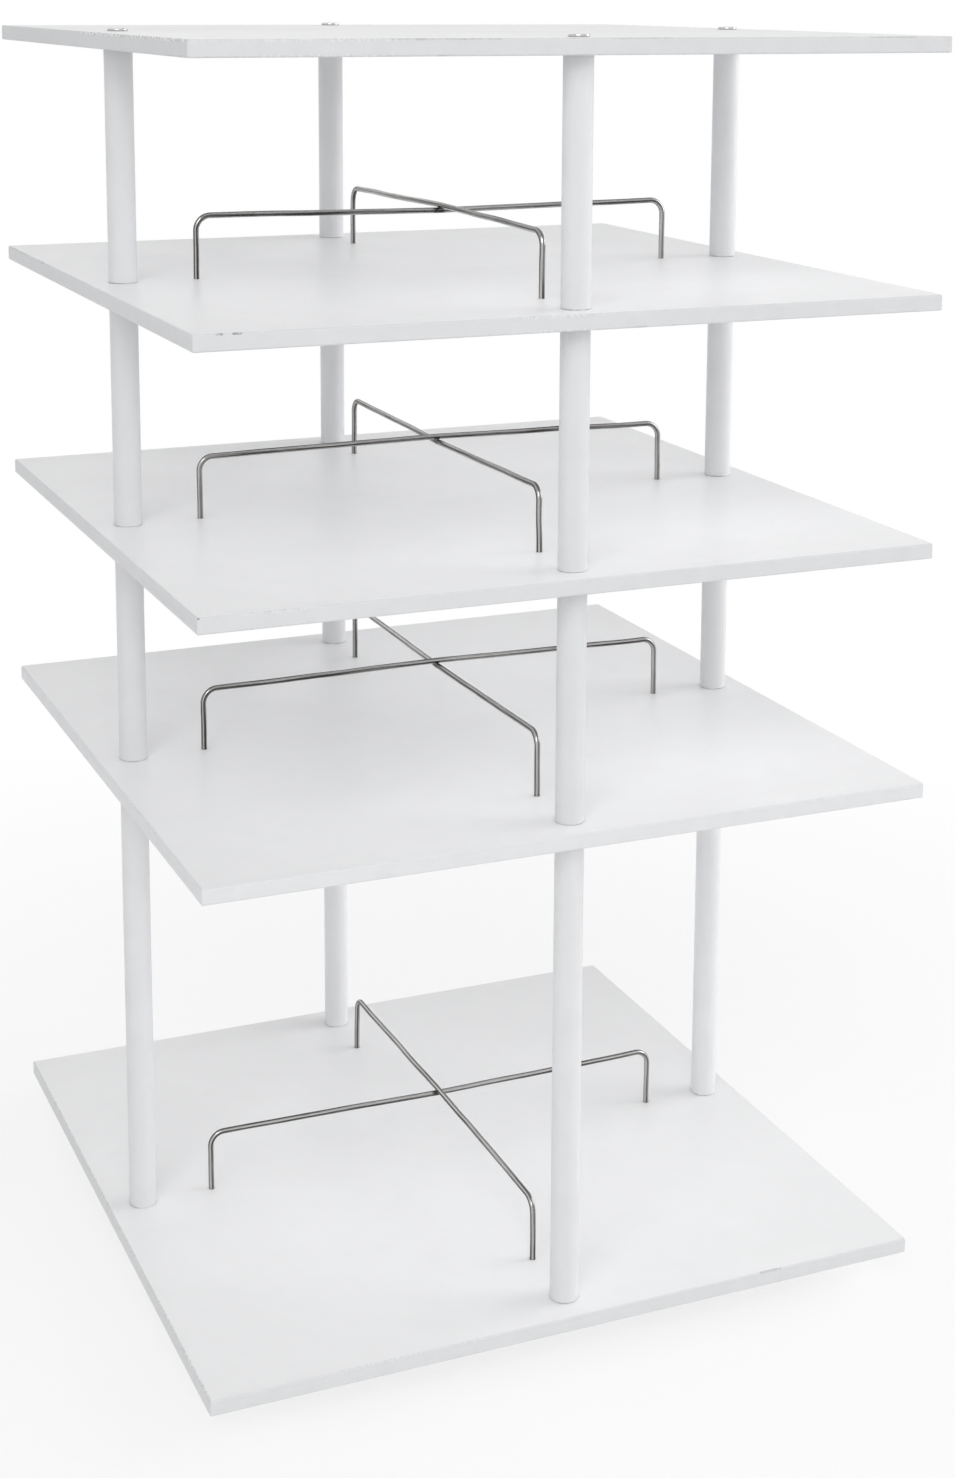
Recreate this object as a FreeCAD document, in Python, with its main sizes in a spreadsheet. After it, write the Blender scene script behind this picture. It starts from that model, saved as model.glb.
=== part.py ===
import FreeCAD, Part
import math
import os
import Sketcher

# A square shoe tower that turns on a ball bearing. Five shelves are held apart by round posts
# at the middle of their sides, and four of them carry a crossed pair of wire hoops.
# Millimetres, +Z up, origin on the floor below the turning axis.

# The driving dimensions: alias, size, meaning.
DIMENSIONS = (
    ("shelf_side", 610, "side of a square shelf"),
    ("shelf_thickness", 12.7, "board thickness of a shelf"),
    ("shelf_edge_radius", 1.5, "rounding of a shelf's edges and corners"),
    ("tier_height", 188, "clear height of a shoe tier, and length of its posts"),
    ("boot_tier_height", 390, "clear height of the lowest tier, and length of its posts"),
    ("post_diameter", 23, "diameter of a post"),
    ("post_inset", 30, "from a shelf's edge to the axis of a post"),
    ("post_chamfer", 0.5, "chamfer on a post's ends"),
    ("thread_diameter", 6, "diameter of the bolts and studs"),
    ("thread_fit", 0.05, "radial play of a bolt or stud in its insert"),
    ("bolt_hole_play", 0.3, "radial play of a bolt or stud in a shelf"),
    ("insert_diameter", 9, "outer diameter of a threaded insert"),
    ("insert_length", 13, "length of a threaded insert"),
    ("insert_recess", 0.5, "depth of an insert below the end of its post"),
    ("insert_fit", 0.05, "radial play of an insert in its post"),
    ("insert_run_out", 2, "empty end of the bore past an insert"),
    ("thread_chamfer", 0.7, "chamfer on a thread's end and an insert's nose"),
    ("bolt_head_diameter", 16.5, "diameter of a connector bolt's head"),
    ("bolt_head_height", 2.6, "height of a connector bolt's head"),
    ("bolt_head_chamfer", 0.7, "chamfer round a connector bolt's head"),
    ("socket_width", 4, "width across the flats of a bolt's hexagon socket"),
    ("socket_depth", 1.8, "depth of a bolt's hexagon socket"),
    ("wire_diameter", 4.8, "diameter of a hoop's wire"),
    ("hoop_span", 427, "between the axes of a hoop's legs"),
    ("hoop_height", 52, "from a shelf up to the middle of the wire at a hoop's bends"),
    ("hoop_bend_radius", 12, "radius of a hoop's bends"),
    ("hoop_crossing_radius", 40, "radius of the bend where two hoops cross"),
    ("hoop_crossing_gap", 0.1, "between two hoops where they cross"),
    ("socket_hole_depth", 9, "depth of a leg's hole in a shelf"),
    ("wire_fit", 0.05, "radial play of a leg in its hole"),
    ("bearing_height", 9.5, "height of the turning bearing"),
    ("bearing_side", 305, "side of a square bearing plate"),
    ("bearing_corner_radius", 14, "radius of a bearing plate's corners"),
    ("sheet_thickness", 1.2, "sheet thickness of the bearing plates"),
    ("race_radius", 115, "radius of the circle that the balls run on"),
    ("ball_diameter", 5, "diameter of a ball"),
    ("ball_play", 0.05, "play of a ball above and below"),
    ("groove_radius", 2.8, "radius of the pressed groove that a ball runs in"),
    ("rim_height", 3.3, "height of the pressed rims beside the groove"),
    ("rim_width", 1, "width of the flat rim beside the groove"),
    ("wall_run", 2.2, "how far the pressed wall leans from the rim to the flange"),
    ("lip_width", 5.8, "width of the inner lip that the retaining ring hooks under"),
    ("ring_play", 0.5, "play between the retaining ring and the inner lip"),
    ("ring_foot_width", 4.2, "how far the retaining ring reaches under the inner lip"),
    ("ring_flange_width", 9, "width of the retaining ring's riveted flange"),
    ("rivet_diameter", 3, "diameter of a rivet"),
    ("rivet_head_diameter", 5.6, "diameter of a rivet's head"),
    ("rivet_head_height", 1.1, "height of a rivet's head"),
    ("rivet_count", 8, "number of rivets"),
    ("ball_count", 24, "number of balls"),
    ("cage_thickness", 1.5, "thickness of the ball cage"),
    ("cage_width", 7, "radial width of the ball cage"),
    ("pocket_play", 0.1, "radial play of a ball in its pocket"),
    ("screw_diameter", 4, "diameter of a wood screw"),
    ("screw_fit", 0.05, "radial play of a wood screw"),
    ("screw_length", 11, "length of a bearing screw below its head"),
    ("screw_point", 2.5, "length of a wood screw's point"),
    ("screw_head_diameter", 8, "diameter of a wood screw's head"),
    ("screw_head_height", 2.4, "height of a wood screw's head"),
    ("screw_head_chamfer", 0.6, "chamfer round a wood screw's head"),
    ("screw_inset", 15, "from a bearing plate's edge to the axis of a screw"),
    ("base_diameter", 480, "diameter of the round base board"),
    ("base_thickness", 12.7, "thickness of the round base board"),
    ("base_edge_radius", 2, "rounding of the base board's edges"),
    ("access_hole_diameter", 20, "hole in the base board for reaching the upper screws"),
    ("foot_diameter", 28, "diameter of a foot where it meets the base board"),
    ("foot_height", 6, "height of a foot"),
    ("foot_taper", 2, "how much smaller a foot's radius is at the floor"),
    ("foot_inset", 25, "from the base board's edge to the axis of a foot"),
    ("foot_recess_diameter", 11, "diameter of the recess for a foot's screw"),
    ("foot_recess_depth", 3.5, "depth of the recess for a foot's screw"),
    ("foot_screw_length", 12, "length of a foot's screw below its head"),
    ("foot_count", 6, "number of feet"),
)

SIDE_COUNT = 4
QUARTER_TURN = 90
CORNER_TURN = 45
FOOT_TURN = 30
SQUARE_DIAGONAL = math.sqrt(2)
# How far the inner corner of a fold of 45 degrees sits back, in sheet thicknesses.
FOLD_SETBACK = math.tan(math.radians(22.5))
SIDES = (("front", 0, -1), ("right", 1, 0), ("back", 0, 1), ("left", -1, 0))
CORNERS = ((-1, -1), (1, -1), (1, 1), (-1, 1))

document = FreeCAD.newDocument("shoe_tower")
sheet = document.addObject("Spreadsheet::Sheet", "dims")
pieces = []


class Size:
    """A length held both as a number and as the expression that the document keeps."""

    def __init__(self, number, text):
        self.number = number
        self.text = text

    def __add__(self, other):
        return join(self, "+", other, number_of(self) + number_of(other))

    def __sub__(self, other):
        return join(self, "-", other, number_of(self) - number_of(other))

    def __mul__(self, other):
        return join(self, "*", other, number_of(self) * number_of(other))

    def __truediv__(self, other):
        return join(self, "/", other, number_of(self) / number_of(other))

    def __neg__(self):
        return self * -1


def number_of(size):
    return size.number if isinstance(size, Size) else float(size)


def text_of(size):
    return size.text if isinstance(size, Size) else "(%r)" % size


def join(left, sign, right, number):
    return Size(number, "(%s %s %s)" % (text_of(left), sign, text_of(right)))


def fill_sheet():
    """Writes the driving dimensions into the spreadsheet and returns them by name."""
    sizes = {}
    for row, (alias, number, meaning) in enumerate(DIMENSIONS, start=1):
        sheet.set("A%d" % row, meaning)
        sheet.set("B%d" % row, str(number))
        sheet.setAlias("B%d" % row, alias)
        sizes[alias] = Size(number, "dims." + alias)
    document.recompute()
    return sizes


dim = fill_sheet()

# Heights of the stack, from the floor up.
base_bottom = dim["foot_height"]
base_top = base_bottom + dim["base_thickness"]
bottom_shelf_z = base_top + dim["bearing_height"]
lower_shelf_z = bottom_shelf_z + dim["shelf_thickness"] + dim["boot_tier_height"]
tier_pitch = dim["shelf_thickness"] + dim["tier_height"]
middle_shelf_z = lower_shelf_z + tier_pitch
upper_shelf_z = middle_shelf_z + tier_pitch
top_shelf_z = upper_shelf_z + tier_pitch
top_face_z = top_shelf_z + dim["shelf_thickness"]

# Places and sizes that several pieces share.
post_offset = dim["shelf_side"] / 2 - dim["post_inset"]
leg_offset = dim["hoop_span"] / 2
shelf_hole = dim["thread_diameter"] + dim["bolt_hole_play"] * 2
thread_grip = dim["insert_recess"] + dim["insert_length"]
leg_hole = dim["wire_diameter"] + dim["wire_fit"] * 2
screw_hole = dim["screw_diameter"] + dim["screw_fit"] * 2
screw_offset = dim["bearing_side"] / 2 - dim["screw_inset"]
screw_circle = screw_offset * SQUARE_DIAGONAL
rivet_hole = dim["rivet_diameter"]
foot_circle = dim["base_diameter"] / 2 - dim["foot_inset"]
foot_screw_head_z = dim["foot_recess_depth"]
race = dim["race_radius"]
race_outer = race + dim["groove_radius"] + dim["rim_width"] + dim["wall_run"]
race_inner = race - dim["groove_radius"] - dim["rim_width"] - dim["wall_run"]
lip_edge = race - dim["groove_radius"] - dim["lip_width"]
ring_wall_outer = lip_edge - dim["ring_play"]
ring_wall_inner = ring_wall_outer - dim["sheet_thickness"]
ring_flange_edge = ring_wall_inner - dim["ring_flange_width"]
rivet_circle = ring_wall_inner - dim["ring_flange_width"] / 2


# Helpers for bodies, sketches and features.
def new_body(name):
    body = document.addObject("PartDesign::Body", name)
    body.Label = name
    body.AllowCompound = True
    return body


def origin_feature(body, role):
    return [feature for feature in body.Origin.OriginFeatures if feature.Role == role][0]


def new_sketch(body, name, plane, lift=None):
    """A sketch on one of the body's origin planes, raised along the plane's normal by lift."""
    sketch = body.newObject("Sketcher::SketchObject", name)
    sketch.AttachmentSupport = [(origin_feature(body, plane), "")]
    sketch.MapMode = "FlatFace"
    if lift is not None:
        sketch.setExpression("AttachmentOffset.Base.z", text_of(lift))
    return sketch


def bind(sketch, constraint, size):
    """Adds a constraint whose value is the size's expression."""
    index = sketch.addConstraint(constraint)
    name = "size_%d" % index
    sketch.renameConstraint(index, name)
    sketch.setExpression("Constraints." + name, text_of(size))


def place_point(sketch, edge, end, across, up):
    for kind, size in (("DistanceX", across), ("DistanceY", up)):
        if size is not None:
            bind(sketch, Sketcher.Constraint(kind, -1, 1, edge, end, number_of(size)), size)


def point(across, up):
    return FreeCAD.Vector(number_of(across), number_of(up), 0)


def draw_outline(sketch, corners):
    """A closed outline of straight lines through corners, each an (across, up) pair."""
    first = sketch.GeometryCount
    count = len(corners)
    for index in range(count):
        line = Part.LineSegment(point(*corners[index]), point(*corners[(index + 1) % count]))
        sketch.addGeometry(line, False)
    for index in range(count):
        follower = first + (index + 1) % count
        sketch.addConstraint(Sketcher.Constraint("Coincident", first + index, 2, follower, 1))
        place_point(sketch, first + index, 1, *corners[index])


def draw_circle(sketch, across, up, diameter):
    circle = Part.Circle(point(across, up), FreeCAD.Vector(0, 0, 1), number_of(diameter) / 2)
    index = sketch.addGeometry(circle, False)
    bind(sketch, Sketcher.Constraint("Diameter", index, number_of(diameter)), diameter)
    place_point(sketch, index, 3, across, up)


def draw_square(sketch, side):
    half = side / 2
    draw_outline(sketch, [(half * right, half * back) for right, back in CORNERS])


def draw_axis(sketch, across):
    """An upright construction line, which is the axis of a turned piece."""
    length = 10
    line = Part.LineSegment(point(across, 0), point(across, length))
    index = sketch.addGeometry(line, True)
    place_point(sketch, index, 1, across, 0)
    sketch.addConstraint(Sketcher.Constraint("Vertical", index))
    sketch.addConstraint(Sketcher.Constraint("DistanceY", index, 1, index, 2, length))


def pad(body, sketch, length):
    feature = body.newObject("PartDesign::Pad", sketch.Name + "_pad")
    feature.Profile = sketch
    feature.setExpression("Length", text_of(length))
    return feature


def pocket(body, sketch, depth, upwards=False):
    """Cuts the sketch into the body by depth, down from the sketch unless upwards."""
    document.recompute()
    before = body.Tip.Shape.Volume
    feature = body.newObject("PartDesign::Pocket", sketch.Name + "_pocket")
    feature.Profile = sketch
    feature.Reversed = upwards
    feature.setExpression("Length", text_of(depth))
    document.recompute()
    if feature.Shape.Volume >= before:
        raise RuntimeError("%s cuts nothing" % feature.Name)
    return feature


def revolve(body, sketch, axis):
    feature = body.newObject("PartDesign::Revolution", sketch.Name + "_turned")
    feature.Profile = sketch
    feature.ReferenceAxis = axis
    feature.Angle = 360
    return feature


def repeat_round(body, features, count):
    """Repeats features evenly round the body's Z axis."""
    document.recompute()
    feature = body.newObject("PartDesign::PolarPattern", features[0].Name + "_ring")
    feature.Originals = features
    feature.Axis = (origin_feature(body, "Z_Axis"), [""])
    feature.Angle = 360
    feature.setExpression("Occurrences", text_of(count))
    body.Tip = feature
    return feature


def round_edges(body, base, names, radius):
    feature = body.newObject("PartDesign::Fillet", body.Name + "_rounding")
    feature.Base = (base, names)
    feature.setExpression("Radius", text_of(radius))
    return feature


def edges_of(feature, wanted):
    """Names of the feature's edges for which wanted(edge) is true."""
    document.recompute()
    edges = enumerate(feature.Shape.Edges, start=1)
    return ["Edge%d" % number for number, edge in edges if wanted(edge)]


def finish(body, up, turn=0, across=0, along=0):
    """Puts a finished body in its place and adds it to the pieces that are written."""
    axis = FreeCAD.Vector(0, 0, 1)
    body.Placement = FreeCAD.Placement(FreeCAD.Vector(), FreeCAD.Rotation(axis, turn))
    body.setExpression("Placement.Base.x", text_of(across))
    body.setExpression("Placement.Base.y", text_of(along))
    body.setExpression("Placement.Base.z", text_of(up))
    pieces.append(body)


def turned_ring(name, circle_radius, count, outlines):
    """Turned pieces that stand in a ring: outlines hold (radius, height) pairs."""
    body = new_body(name)
    sketch = new_sketch(body, name + "_section", "XZ_Plane")
    for outline in outlines:
        draw_outline(sketch, [(circle_radius + radius, height) for radius, height in outline])
    draw_axis(sketch, circle_radius)
    turned = revolve(body, sketch, (sketch, ["Axis0"]))
    repeat_round(body, [turned], count)
    return body, turned


# Shelves.
def make_shelf(name, up, with_hoops=False, on_bearing=False):
    body = new_body(name)
    board = new_sketch(body, name + "_board", "XY_Plane")
    draw_square(board, dim["shelf_side"])
    slab = pad(body, board, dim["shelf_thickness"])
    round_edges(body, slab, edges_of(slab, lambda edge: True), dim["shelf_edge_radius"])
    bolts = new_sketch(body, name + "_bolt_holes", "XY_Plane")
    for _, right, back in SIDES:
        draw_circle(bolts, post_offset * right, post_offset * back, shelf_hole)
    pocket(body, bolts, dim["shelf_thickness"], upwards=True)
    if with_hoops:
        legs = new_sketch(body, name + "_leg_holes", "XY_Plane", dim["shelf_thickness"])
        for _, right, back in SIDES:
            draw_circle(legs, leg_offset * right, leg_offset * back, leg_hole)
        pocket(body, legs, dim["socket_hole_depth"])
    if on_bearing:
        pilots = new_sketch(body, name + "_pilot_holes", "XY_Plane")
        for right, back in CORNERS:
            draw_circle(pilots, screw_offset * right, screw_offset * back, screw_hole)
        pocket(body, pilots, dim["screw_length"] - dim["sheet_thickness"], upwards=True)
    finish(body, up)


# Posts and what fastens them.
def make_post(name, up, length, right, back):
    body = new_body(name)
    section = new_sketch(body, name + "_section", "XY_Plane")
    draw_circle(section, 0, 0, dim["post_diameter"])
    dowel = pad(body, section, length)
    chamfer = body.newObject("PartDesign::Chamfer", name + "_chamfer")
    chamfer.Base = (dowel, edges_of(dowel, lambda edge: edge.isClosed()))
    chamfer.setExpression("Size", text_of(dim["post_chamfer"]))
    bore = dim["insert_diameter"] + dim["insert_fit"] * 2
    bore_depth = thread_grip + dim["insert_run_out"]
    for end, lift, upwards in (("lower", 0, True), ("upper", length, False)):
        sketch = new_sketch(body, "%s_%s_bore" % (name, end), "XY_Plane", lift)
        draw_circle(sketch, 0, 0, bore)
        pocket(body, sketch, bore_depth, upwards)
    finish(body, up, across=post_offset * right, along=post_offset * back)


def make_inserts(name, up, length):
    """The threaded inserts in both ends of one tier's posts."""
    inner = dim["thread_diameter"] / 2 + dim["thread_fit"]
    outer = dim["insert_diameter"] / 2
    mouth = dim["insert_recess"]
    nose = thread_grip
    shoulder = nose - dim["thread_chamfer"]
    lower = (
        (inner, mouth),
        (outer, mouth),
        (outer, shoulder),
        (outer - dim["thread_chamfer"], nose),
        (inner, nose),
    )
    upper = [(radius, length - height) for radius, height in lower]
    body, _ = turned_ring(name, post_offset, SIDE_COUNT, (lower, upper))
    finish(body, up)


def make_studs(name, up):
    """Double-ended studs that pass through a shelf into the posts above and below it."""
    radius = dim["thread_diameter"] / 2
    chamfer = dim["thread_chamfer"]
    top = dim["shelf_thickness"] + thread_grip
    outline = (
        (0, -thread_grip),
        (radius - chamfer, -thread_grip),
        (radius, chamfer - thread_grip),
        (radius, top - chamfer),
        (radius - chamfer, top),
        (0, top),
    )
    body, _ = turned_ring(name, post_offset, SIDE_COUNT, (outline,))
    finish(body, up)


def make_bolts(name, up, head_side):
    """Connector bolts, with their heads on the shelf's face: head_side is 1 above, -1 below."""
    radius = dim["thread_diameter"] / 2
    chamfer = dim["thread_chamfer"]
    end = -(dim["shelf_thickness"] + thread_grip)
    head_radius = dim["bolt_head_diameter"] / 2
    head_height = dim["bolt_head_height"]
    head_chamfer = dim["bolt_head_chamfer"]
    profile = (
        (0, end),
        (radius - chamfer, end),
        (radius, end + chamfer),
        (radius, 0),
        (head_radius, 0),
        (head_radius, head_height - head_chamfer),
        (head_radius - head_chamfer, head_height),
        (0, head_height),
    )
    outline = [(across, height * head_side) for across, height in profile]
    body = new_body(name)
    sketch = new_sketch(body, name + "_section", "XZ_Plane")
    draw_outline(sketch, [(post_offset + across, height) for across, height in outline])
    draw_axis(sketch, post_offset)
    turned = revolve(body, sketch, (sketch, ["Axis0"]))
    socket = new_sketch(body, name + "_socket", "XY_Plane", head_height * head_side)
    reach = dim["socket_width"] / math.sqrt(3)
    angles = [math.radians(60 * step) for step in range(6)]
    hexagon = [(post_offset + reach * math.cos(a), reach * math.sin(a)) for a in angles]
    draw_outline(socket, hexagon)
    cut = pocket(body, socket, dim["socket_depth"], upwards=head_side < 0)
    repeat_round(body, [turned, cut], SIDE_COUNT)
    finish(body, up)


# Wire hoops.
def draw_hoop_path(sketch, bow_side):
    """The middle line of a hoop. Its bar bows by half the wire where it passes its partner.

    The ends of the crossing bend are rough at first, and the tangent constraints then settle them.
    """
    half = number_of(leg_offset)
    height = dim["hoop_height"].number
    bend = dim["hoop_bend_radius"].number
    crossing = dim["hoop_crossing_radius"].number
    depth = dim["socket_hole_depth"].number
    bow = (dim["wire_diameter"] + dim["hoop_crossing_gap"]) / 2
    lean = bow_side * math.atan2(bow.number, half)
    apex = height + bow_side * bow.number
    upright = FreeCAD.Vector(0, 0, 1)
    rough_reach = 1
    rough_sweep = 0.01

    def line(start, end):
        return sketch.addGeometry(Part.LineSegment(point(*start), point(*end)), False)

    def arc(centre, radius, start, end):
        circle = Part.Circle(point(*centre), upright, radius)
        return sketch.addGeometry(Part.ArcOfCircle(circle, start, end), False)

    up = math.pi / 2
    middle = up * bow_side
    left_leg = line((-half, -depth), (-half, height - bend))
    left_bend = arc((bend - half, height - bend), bend, up + lean, math.pi)
    left_bar = line((bend - half, height), (-rough_reach, apex))
    crossing_centre = (0, apex - bow_side * crossing)
    crossing_ends = (middle - rough_sweep, middle + rough_sweep)
    crossing_bend = arc(crossing_centre, crossing, *crossing_ends)
    right_bar = line((rough_reach, apex), (half - bend, height))
    right_bend = arc((half - bend, height - bend), bend, 0, up - lean)
    right_leg = line((half, height - bend), (half, -depth))
    left_end, right_end = (2, 1) if bow_side > 0 else (1, 2)
    joints = (
        (left_leg, 2, left_bend, 2),
        (left_bend, 1, left_bar, 1),
        (left_bar, 2, crossing_bend, left_end),
        (crossing_bend, right_end, right_bar, 1),
        (right_bar, 2, right_bend, 2),
        (right_bend, 1, right_leg, 1),
    )
    for joint in joints:
        sketch.addConstraint(Sketcher.Constraint("Tangent", *joint))
    rules = (
        Sketcher.Constraint("Vertical", left_leg),
        Sketcher.Constraint("Vertical", right_leg),
        Sketcher.Constraint("PointOnObject", crossing_bend, 3, -2),
        Sketcher.Constraint("Symmetric", left_leg, 1, right_leg, 2, -2),
        Sketcher.Constraint("Equal", left_leg, right_leg),
        Sketcher.Constraint("Equal", left_bend, right_bend),
    )
    for rule in rules:
        sketch.addConstraint(rule)
    centre = dim["hoop_height"] + (bow - dim["hoop_crossing_radius"]) * bow_side
    sized = (
        (Sketcher.Constraint("Radius", left_bend, bend), dim["hoop_bend_radius"]),
        (Sketcher.Constraint("Radius", crossing_bend, crossing), dim["hoop_crossing_radius"]),
        (Sketcher.Constraint("DistanceX", left_leg, 1, right_leg, 2, 2 * half), dim["hoop_span"]),
        (Sketcher.Constraint("DistanceY", left_leg, 1, -1, 1, depth), dim["socket_hole_depth"]),
        (Sketcher.Constraint("DistanceY", -1, 1, left_bar, 1, height), dim["hoop_height"]),
        (Sketcher.Constraint("DistanceY", -1, 1, crossing_bend, 3, centre.number), centre),
    )
    for constraint, size in sized:
        bind(sketch, constraint, size)


def make_hoop(name, up, turn, bow_side):
    body = new_body(name)
    path = new_sketch(body, name + "_path", "XZ_Plane")
    draw_hoop_path(path, bow_side)
    section = new_sketch(body, name + "_wire", "XY_Plane", -dim["socket_hole_depth"])
    draw_circle(section, -leg_offset, 0, dim["wire_diameter"])
    document.recompute()
    pipe = body.newObject("PartDesign::AdditivePipe", name + "_pipe")
    pipe.Profile = section
    pipe.Spine = (path, [])
    finish(body, up, turn)


# The turning bearing: two pressed plates, balls in a cage, and a riveted ring that keeps the
# plates together. The plates are drawn from the base board up, the upper one turned over.
def draw_race(sketch, flip):
    """The pressed section of a bearing plate's race; flip mirrors it to the upper plate."""
    sheet_thickness = dim["sheet_thickness"]
    rim = dim["rim_height"]
    groove = dim["groove_radius"]
    centre = (dim["bearing_height"] - dim["ball_diameter"]) / 2 - dim["ball_play"] + groove

    def height(size):
        return dim["bearing_height"] - size if flip else size

    setback = sheet_thickness * FOLD_SETBACK
    rim_outer = race + groove + dim["rim_width"]
    outer_top = [(rim_outer, height(rim)), (race_outer, height(sheet_thickness))]
    outer_bottom = [(race_outer, height(0)), (race_outer - setback, height(0))]
    under = [(rim_outer - setback, height(rim - sheet_thickness))]
    if flip:
        rim_inner = race - groove - dim["rim_width"]
        inner = [
            (rim_inner + setback, height(rim - sheet_thickness)),
            (race_inner + setback, height(0)),
            (ring_flange_edge, height(0)),
            (ring_flange_edge, height(sheet_thickness)),
            (race_inner, height(sheet_thickness)),
            (rim_inner, height(rim)),
        ]
    else:
        inner = [(lip_edge, height(rim - sheet_thickness)), (lip_edge, height(rim))]
    draw_grooved_outline(sketch, outer_top + outer_bottom + under, inner, height, centre)


def draw_grooved_outline(sketch, outer, inner, height, centre):
    """Closes the outer and inner chains with the groove's arc and its arc on the back."""
    groove = dim["groove_radius"]
    rim = dim["rim_height"]
    depth_to_rim = centre.number - rim.number
    half_groove = math.sqrt(groove.number ** 2 - depth_to_rim ** 2)
    back_radius = groove + dim["sheet_thickness"]
    back_depth = depth_to_rim + dim["sheet_thickness"].number
    half_back = math.sqrt(back_radius.number ** 2 - back_depth ** 2)
    rim_z = height(rim)
    back_z = height(rim - dim["sheet_thickness"])
    middle = (race.number, number_of(height(centre)))
    flipped = number_of(rim_z) > middle[1]
    upright = FreeCAD.Vector(0, 0, 1)

    def add_line(start, end):
        return sketch.addGeometry(Part.LineSegment(point(*start), point(*end)), False)

    def add_arc(radius, half_width, up):
        circle = Part.Circle(point(*middle), upright, radius.number)
        lean = math.atan2(number_of(up) - middle[1], half_width)
        start, end = (lean, math.pi - lean) if flipped else (math.pi - lean, 2 * math.pi + lean)
        arc = sketch.addGeometry(Part.ArcOfCircle(circle, start, end), False)
        place_point(sketch, arc, 3, race, height(centre))
        bind(sketch, Sketcher.Constraint("Radius", arc, radius.number), radius)
        return arc

    def chain(corners, first, last):
        """Lines from first, through corners, to last; first and last are (across, up)."""
        stops = [first] + list(corners) + [last]
        lines = [add_line(stops[i], stops[i + 1]) for i in range(len(stops) - 1)]
        for index in range(len(lines) - 1):
            joint = Sketcher.Constraint("Coincident", lines[index], 2, lines[index + 1], 1)
            sketch.addConstraint(joint)
            place_point(sketch, lines[index + 1], 1, *corners[index])
        return lines[0], lines[-1]

    groove_right = (race.number + half_groove, rim_z)
    groove_left = (race.number - half_groove, rim_z)
    back_right = (race.number + half_back, back_z)
    back_left = (race.number - half_back, back_z)
    outer_first, outer_last = chain(outer, groove_right, back_right)
    inner_first, inner_last = chain(inner, back_left, groove_left)
    groove_arc = add_arc(groove, half_groove, rim_z)
    back_arc = add_arc(back_radius, half_back, back_z)
    right_end, left_end = (1, 2) if flipped else (2, 1)
    joints = (
        (outer_first, 1, groove_arc, right_end, rim_z),
        (inner_last, 2, groove_arc, left_end, rim_z),
        (outer_last, 2, back_arc, right_end, back_z),
        (inner_first, 1, back_arc, left_end, back_z),
    )
    for line, line_end, arc, arc_end, up in joints:
        sketch.addConstraint(Sketcher.Constraint("Coincident", line, line_end, arc, arc_end))
        place_point(sketch, line, line_end, None, up)


def make_bearing_plate(name, flip):
    body = new_body(name)
    underside = dim["bearing_height"] - dim["sheet_thickness"] if flip else 0
    flange = new_sketch(body, name + "_flange", "XY_Plane", underside)
    draw_square(flange, dim["bearing_side"])
    slab = pad(body, flange, dim["sheet_thickness"])
    upright = edges_of(slab, lambda edge: abs(edge.tangentAt(0).z) > 0.5)
    round_edges(body, slab, upright, dim["bearing_corner_radius"])
    holes = new_sketch(body, name + "_holes", "XY_Plane", underside)
    draw_circle(holes, 0, 0, race_outer * 2)
    for right, back in CORNERS:
        draw_circle(holes, screw_offset * right, screw_offset * back, screw_hole)
    pocket(body, holes, dim["sheet_thickness"], upwards=True)
    section = new_sketch(body, name + "_race", "XZ_Plane")
    draw_race(section, flip)
    revolve(body, section, (origin_feature(body, "Z_Axis"), [""]))
    if flip:
        drill_rivet_holes(body, dim["bearing_height"])
    finish(body, base_top)


def drill_rivet_holes(body, top):
    """Drills the ring of rivet holes down from a height of top through one sheet."""
    document.recompute()
    sketch = new_sketch(body, body.Name + "_rivet_hole", "XY_Plane", top)
    draw_circle(sketch, rivet_circle, 0, rivet_hole)
    hole = pocket(body, sketch, dim["sheet_thickness"])
    repeat_round(body, [hole], dim["rivet_count"])


def make_retaining_ring():
    """A folded ring, riveted to the upper plate, that hooks under the lower plate's lip."""
    name = "bearing_retaining_ring"
    body = new_body(name)
    sheet_thickness = dim["sheet_thickness"]
    top = dim["bearing_height"] - sheet_thickness
    foot = (dim["rim_height"] - sheet_thickness * 2) / 2
    foot_edge = lip_edge + dim["ring_foot_width"]
    section = new_sketch(body, name + "_section", "XZ_Plane")
    corners = (
        (ring_flange_edge, top),
        (ring_flange_edge, top - sheet_thickness),
        (ring_wall_inner, top - sheet_thickness),
        (ring_wall_inner, foot),
        (foot_edge, foot),
        (foot_edge, foot + sheet_thickness),
        (ring_wall_outer, foot + sheet_thickness),
        (ring_wall_outer, top),
    )
    draw_outline(section, corners)
    revolve(body, section, (origin_feature(body, "Z_Axis"), [""]))
    drill_rivet_holes(body, top)
    finish(body, base_top)


def make_rivets():
    radius = dim["rivet_diameter"] / 2
    head_radius = dim["rivet_head_diameter"] / 2
    head_top = dim["bearing_height"] - dim["sheet_thickness"] * 2
    head_bottom = head_top - dim["rivet_head_height"]
    outline = (
        (0, head_bottom),
        (head_radius - dim["rivet_head_height"] / 2, head_bottom),
        (head_radius, head_bottom + dim["rivet_head_height"] / 2),
        (head_radius, head_top),
        (radius, head_top),
        (radius, dim["bearing_height"]),
        (0, dim["bearing_height"]),
    )
    body, _ = turned_ring("retaining_ring_rivets", rivet_circle, dim["rivet_count"], (outline,))
    finish(body, base_top)


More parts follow.
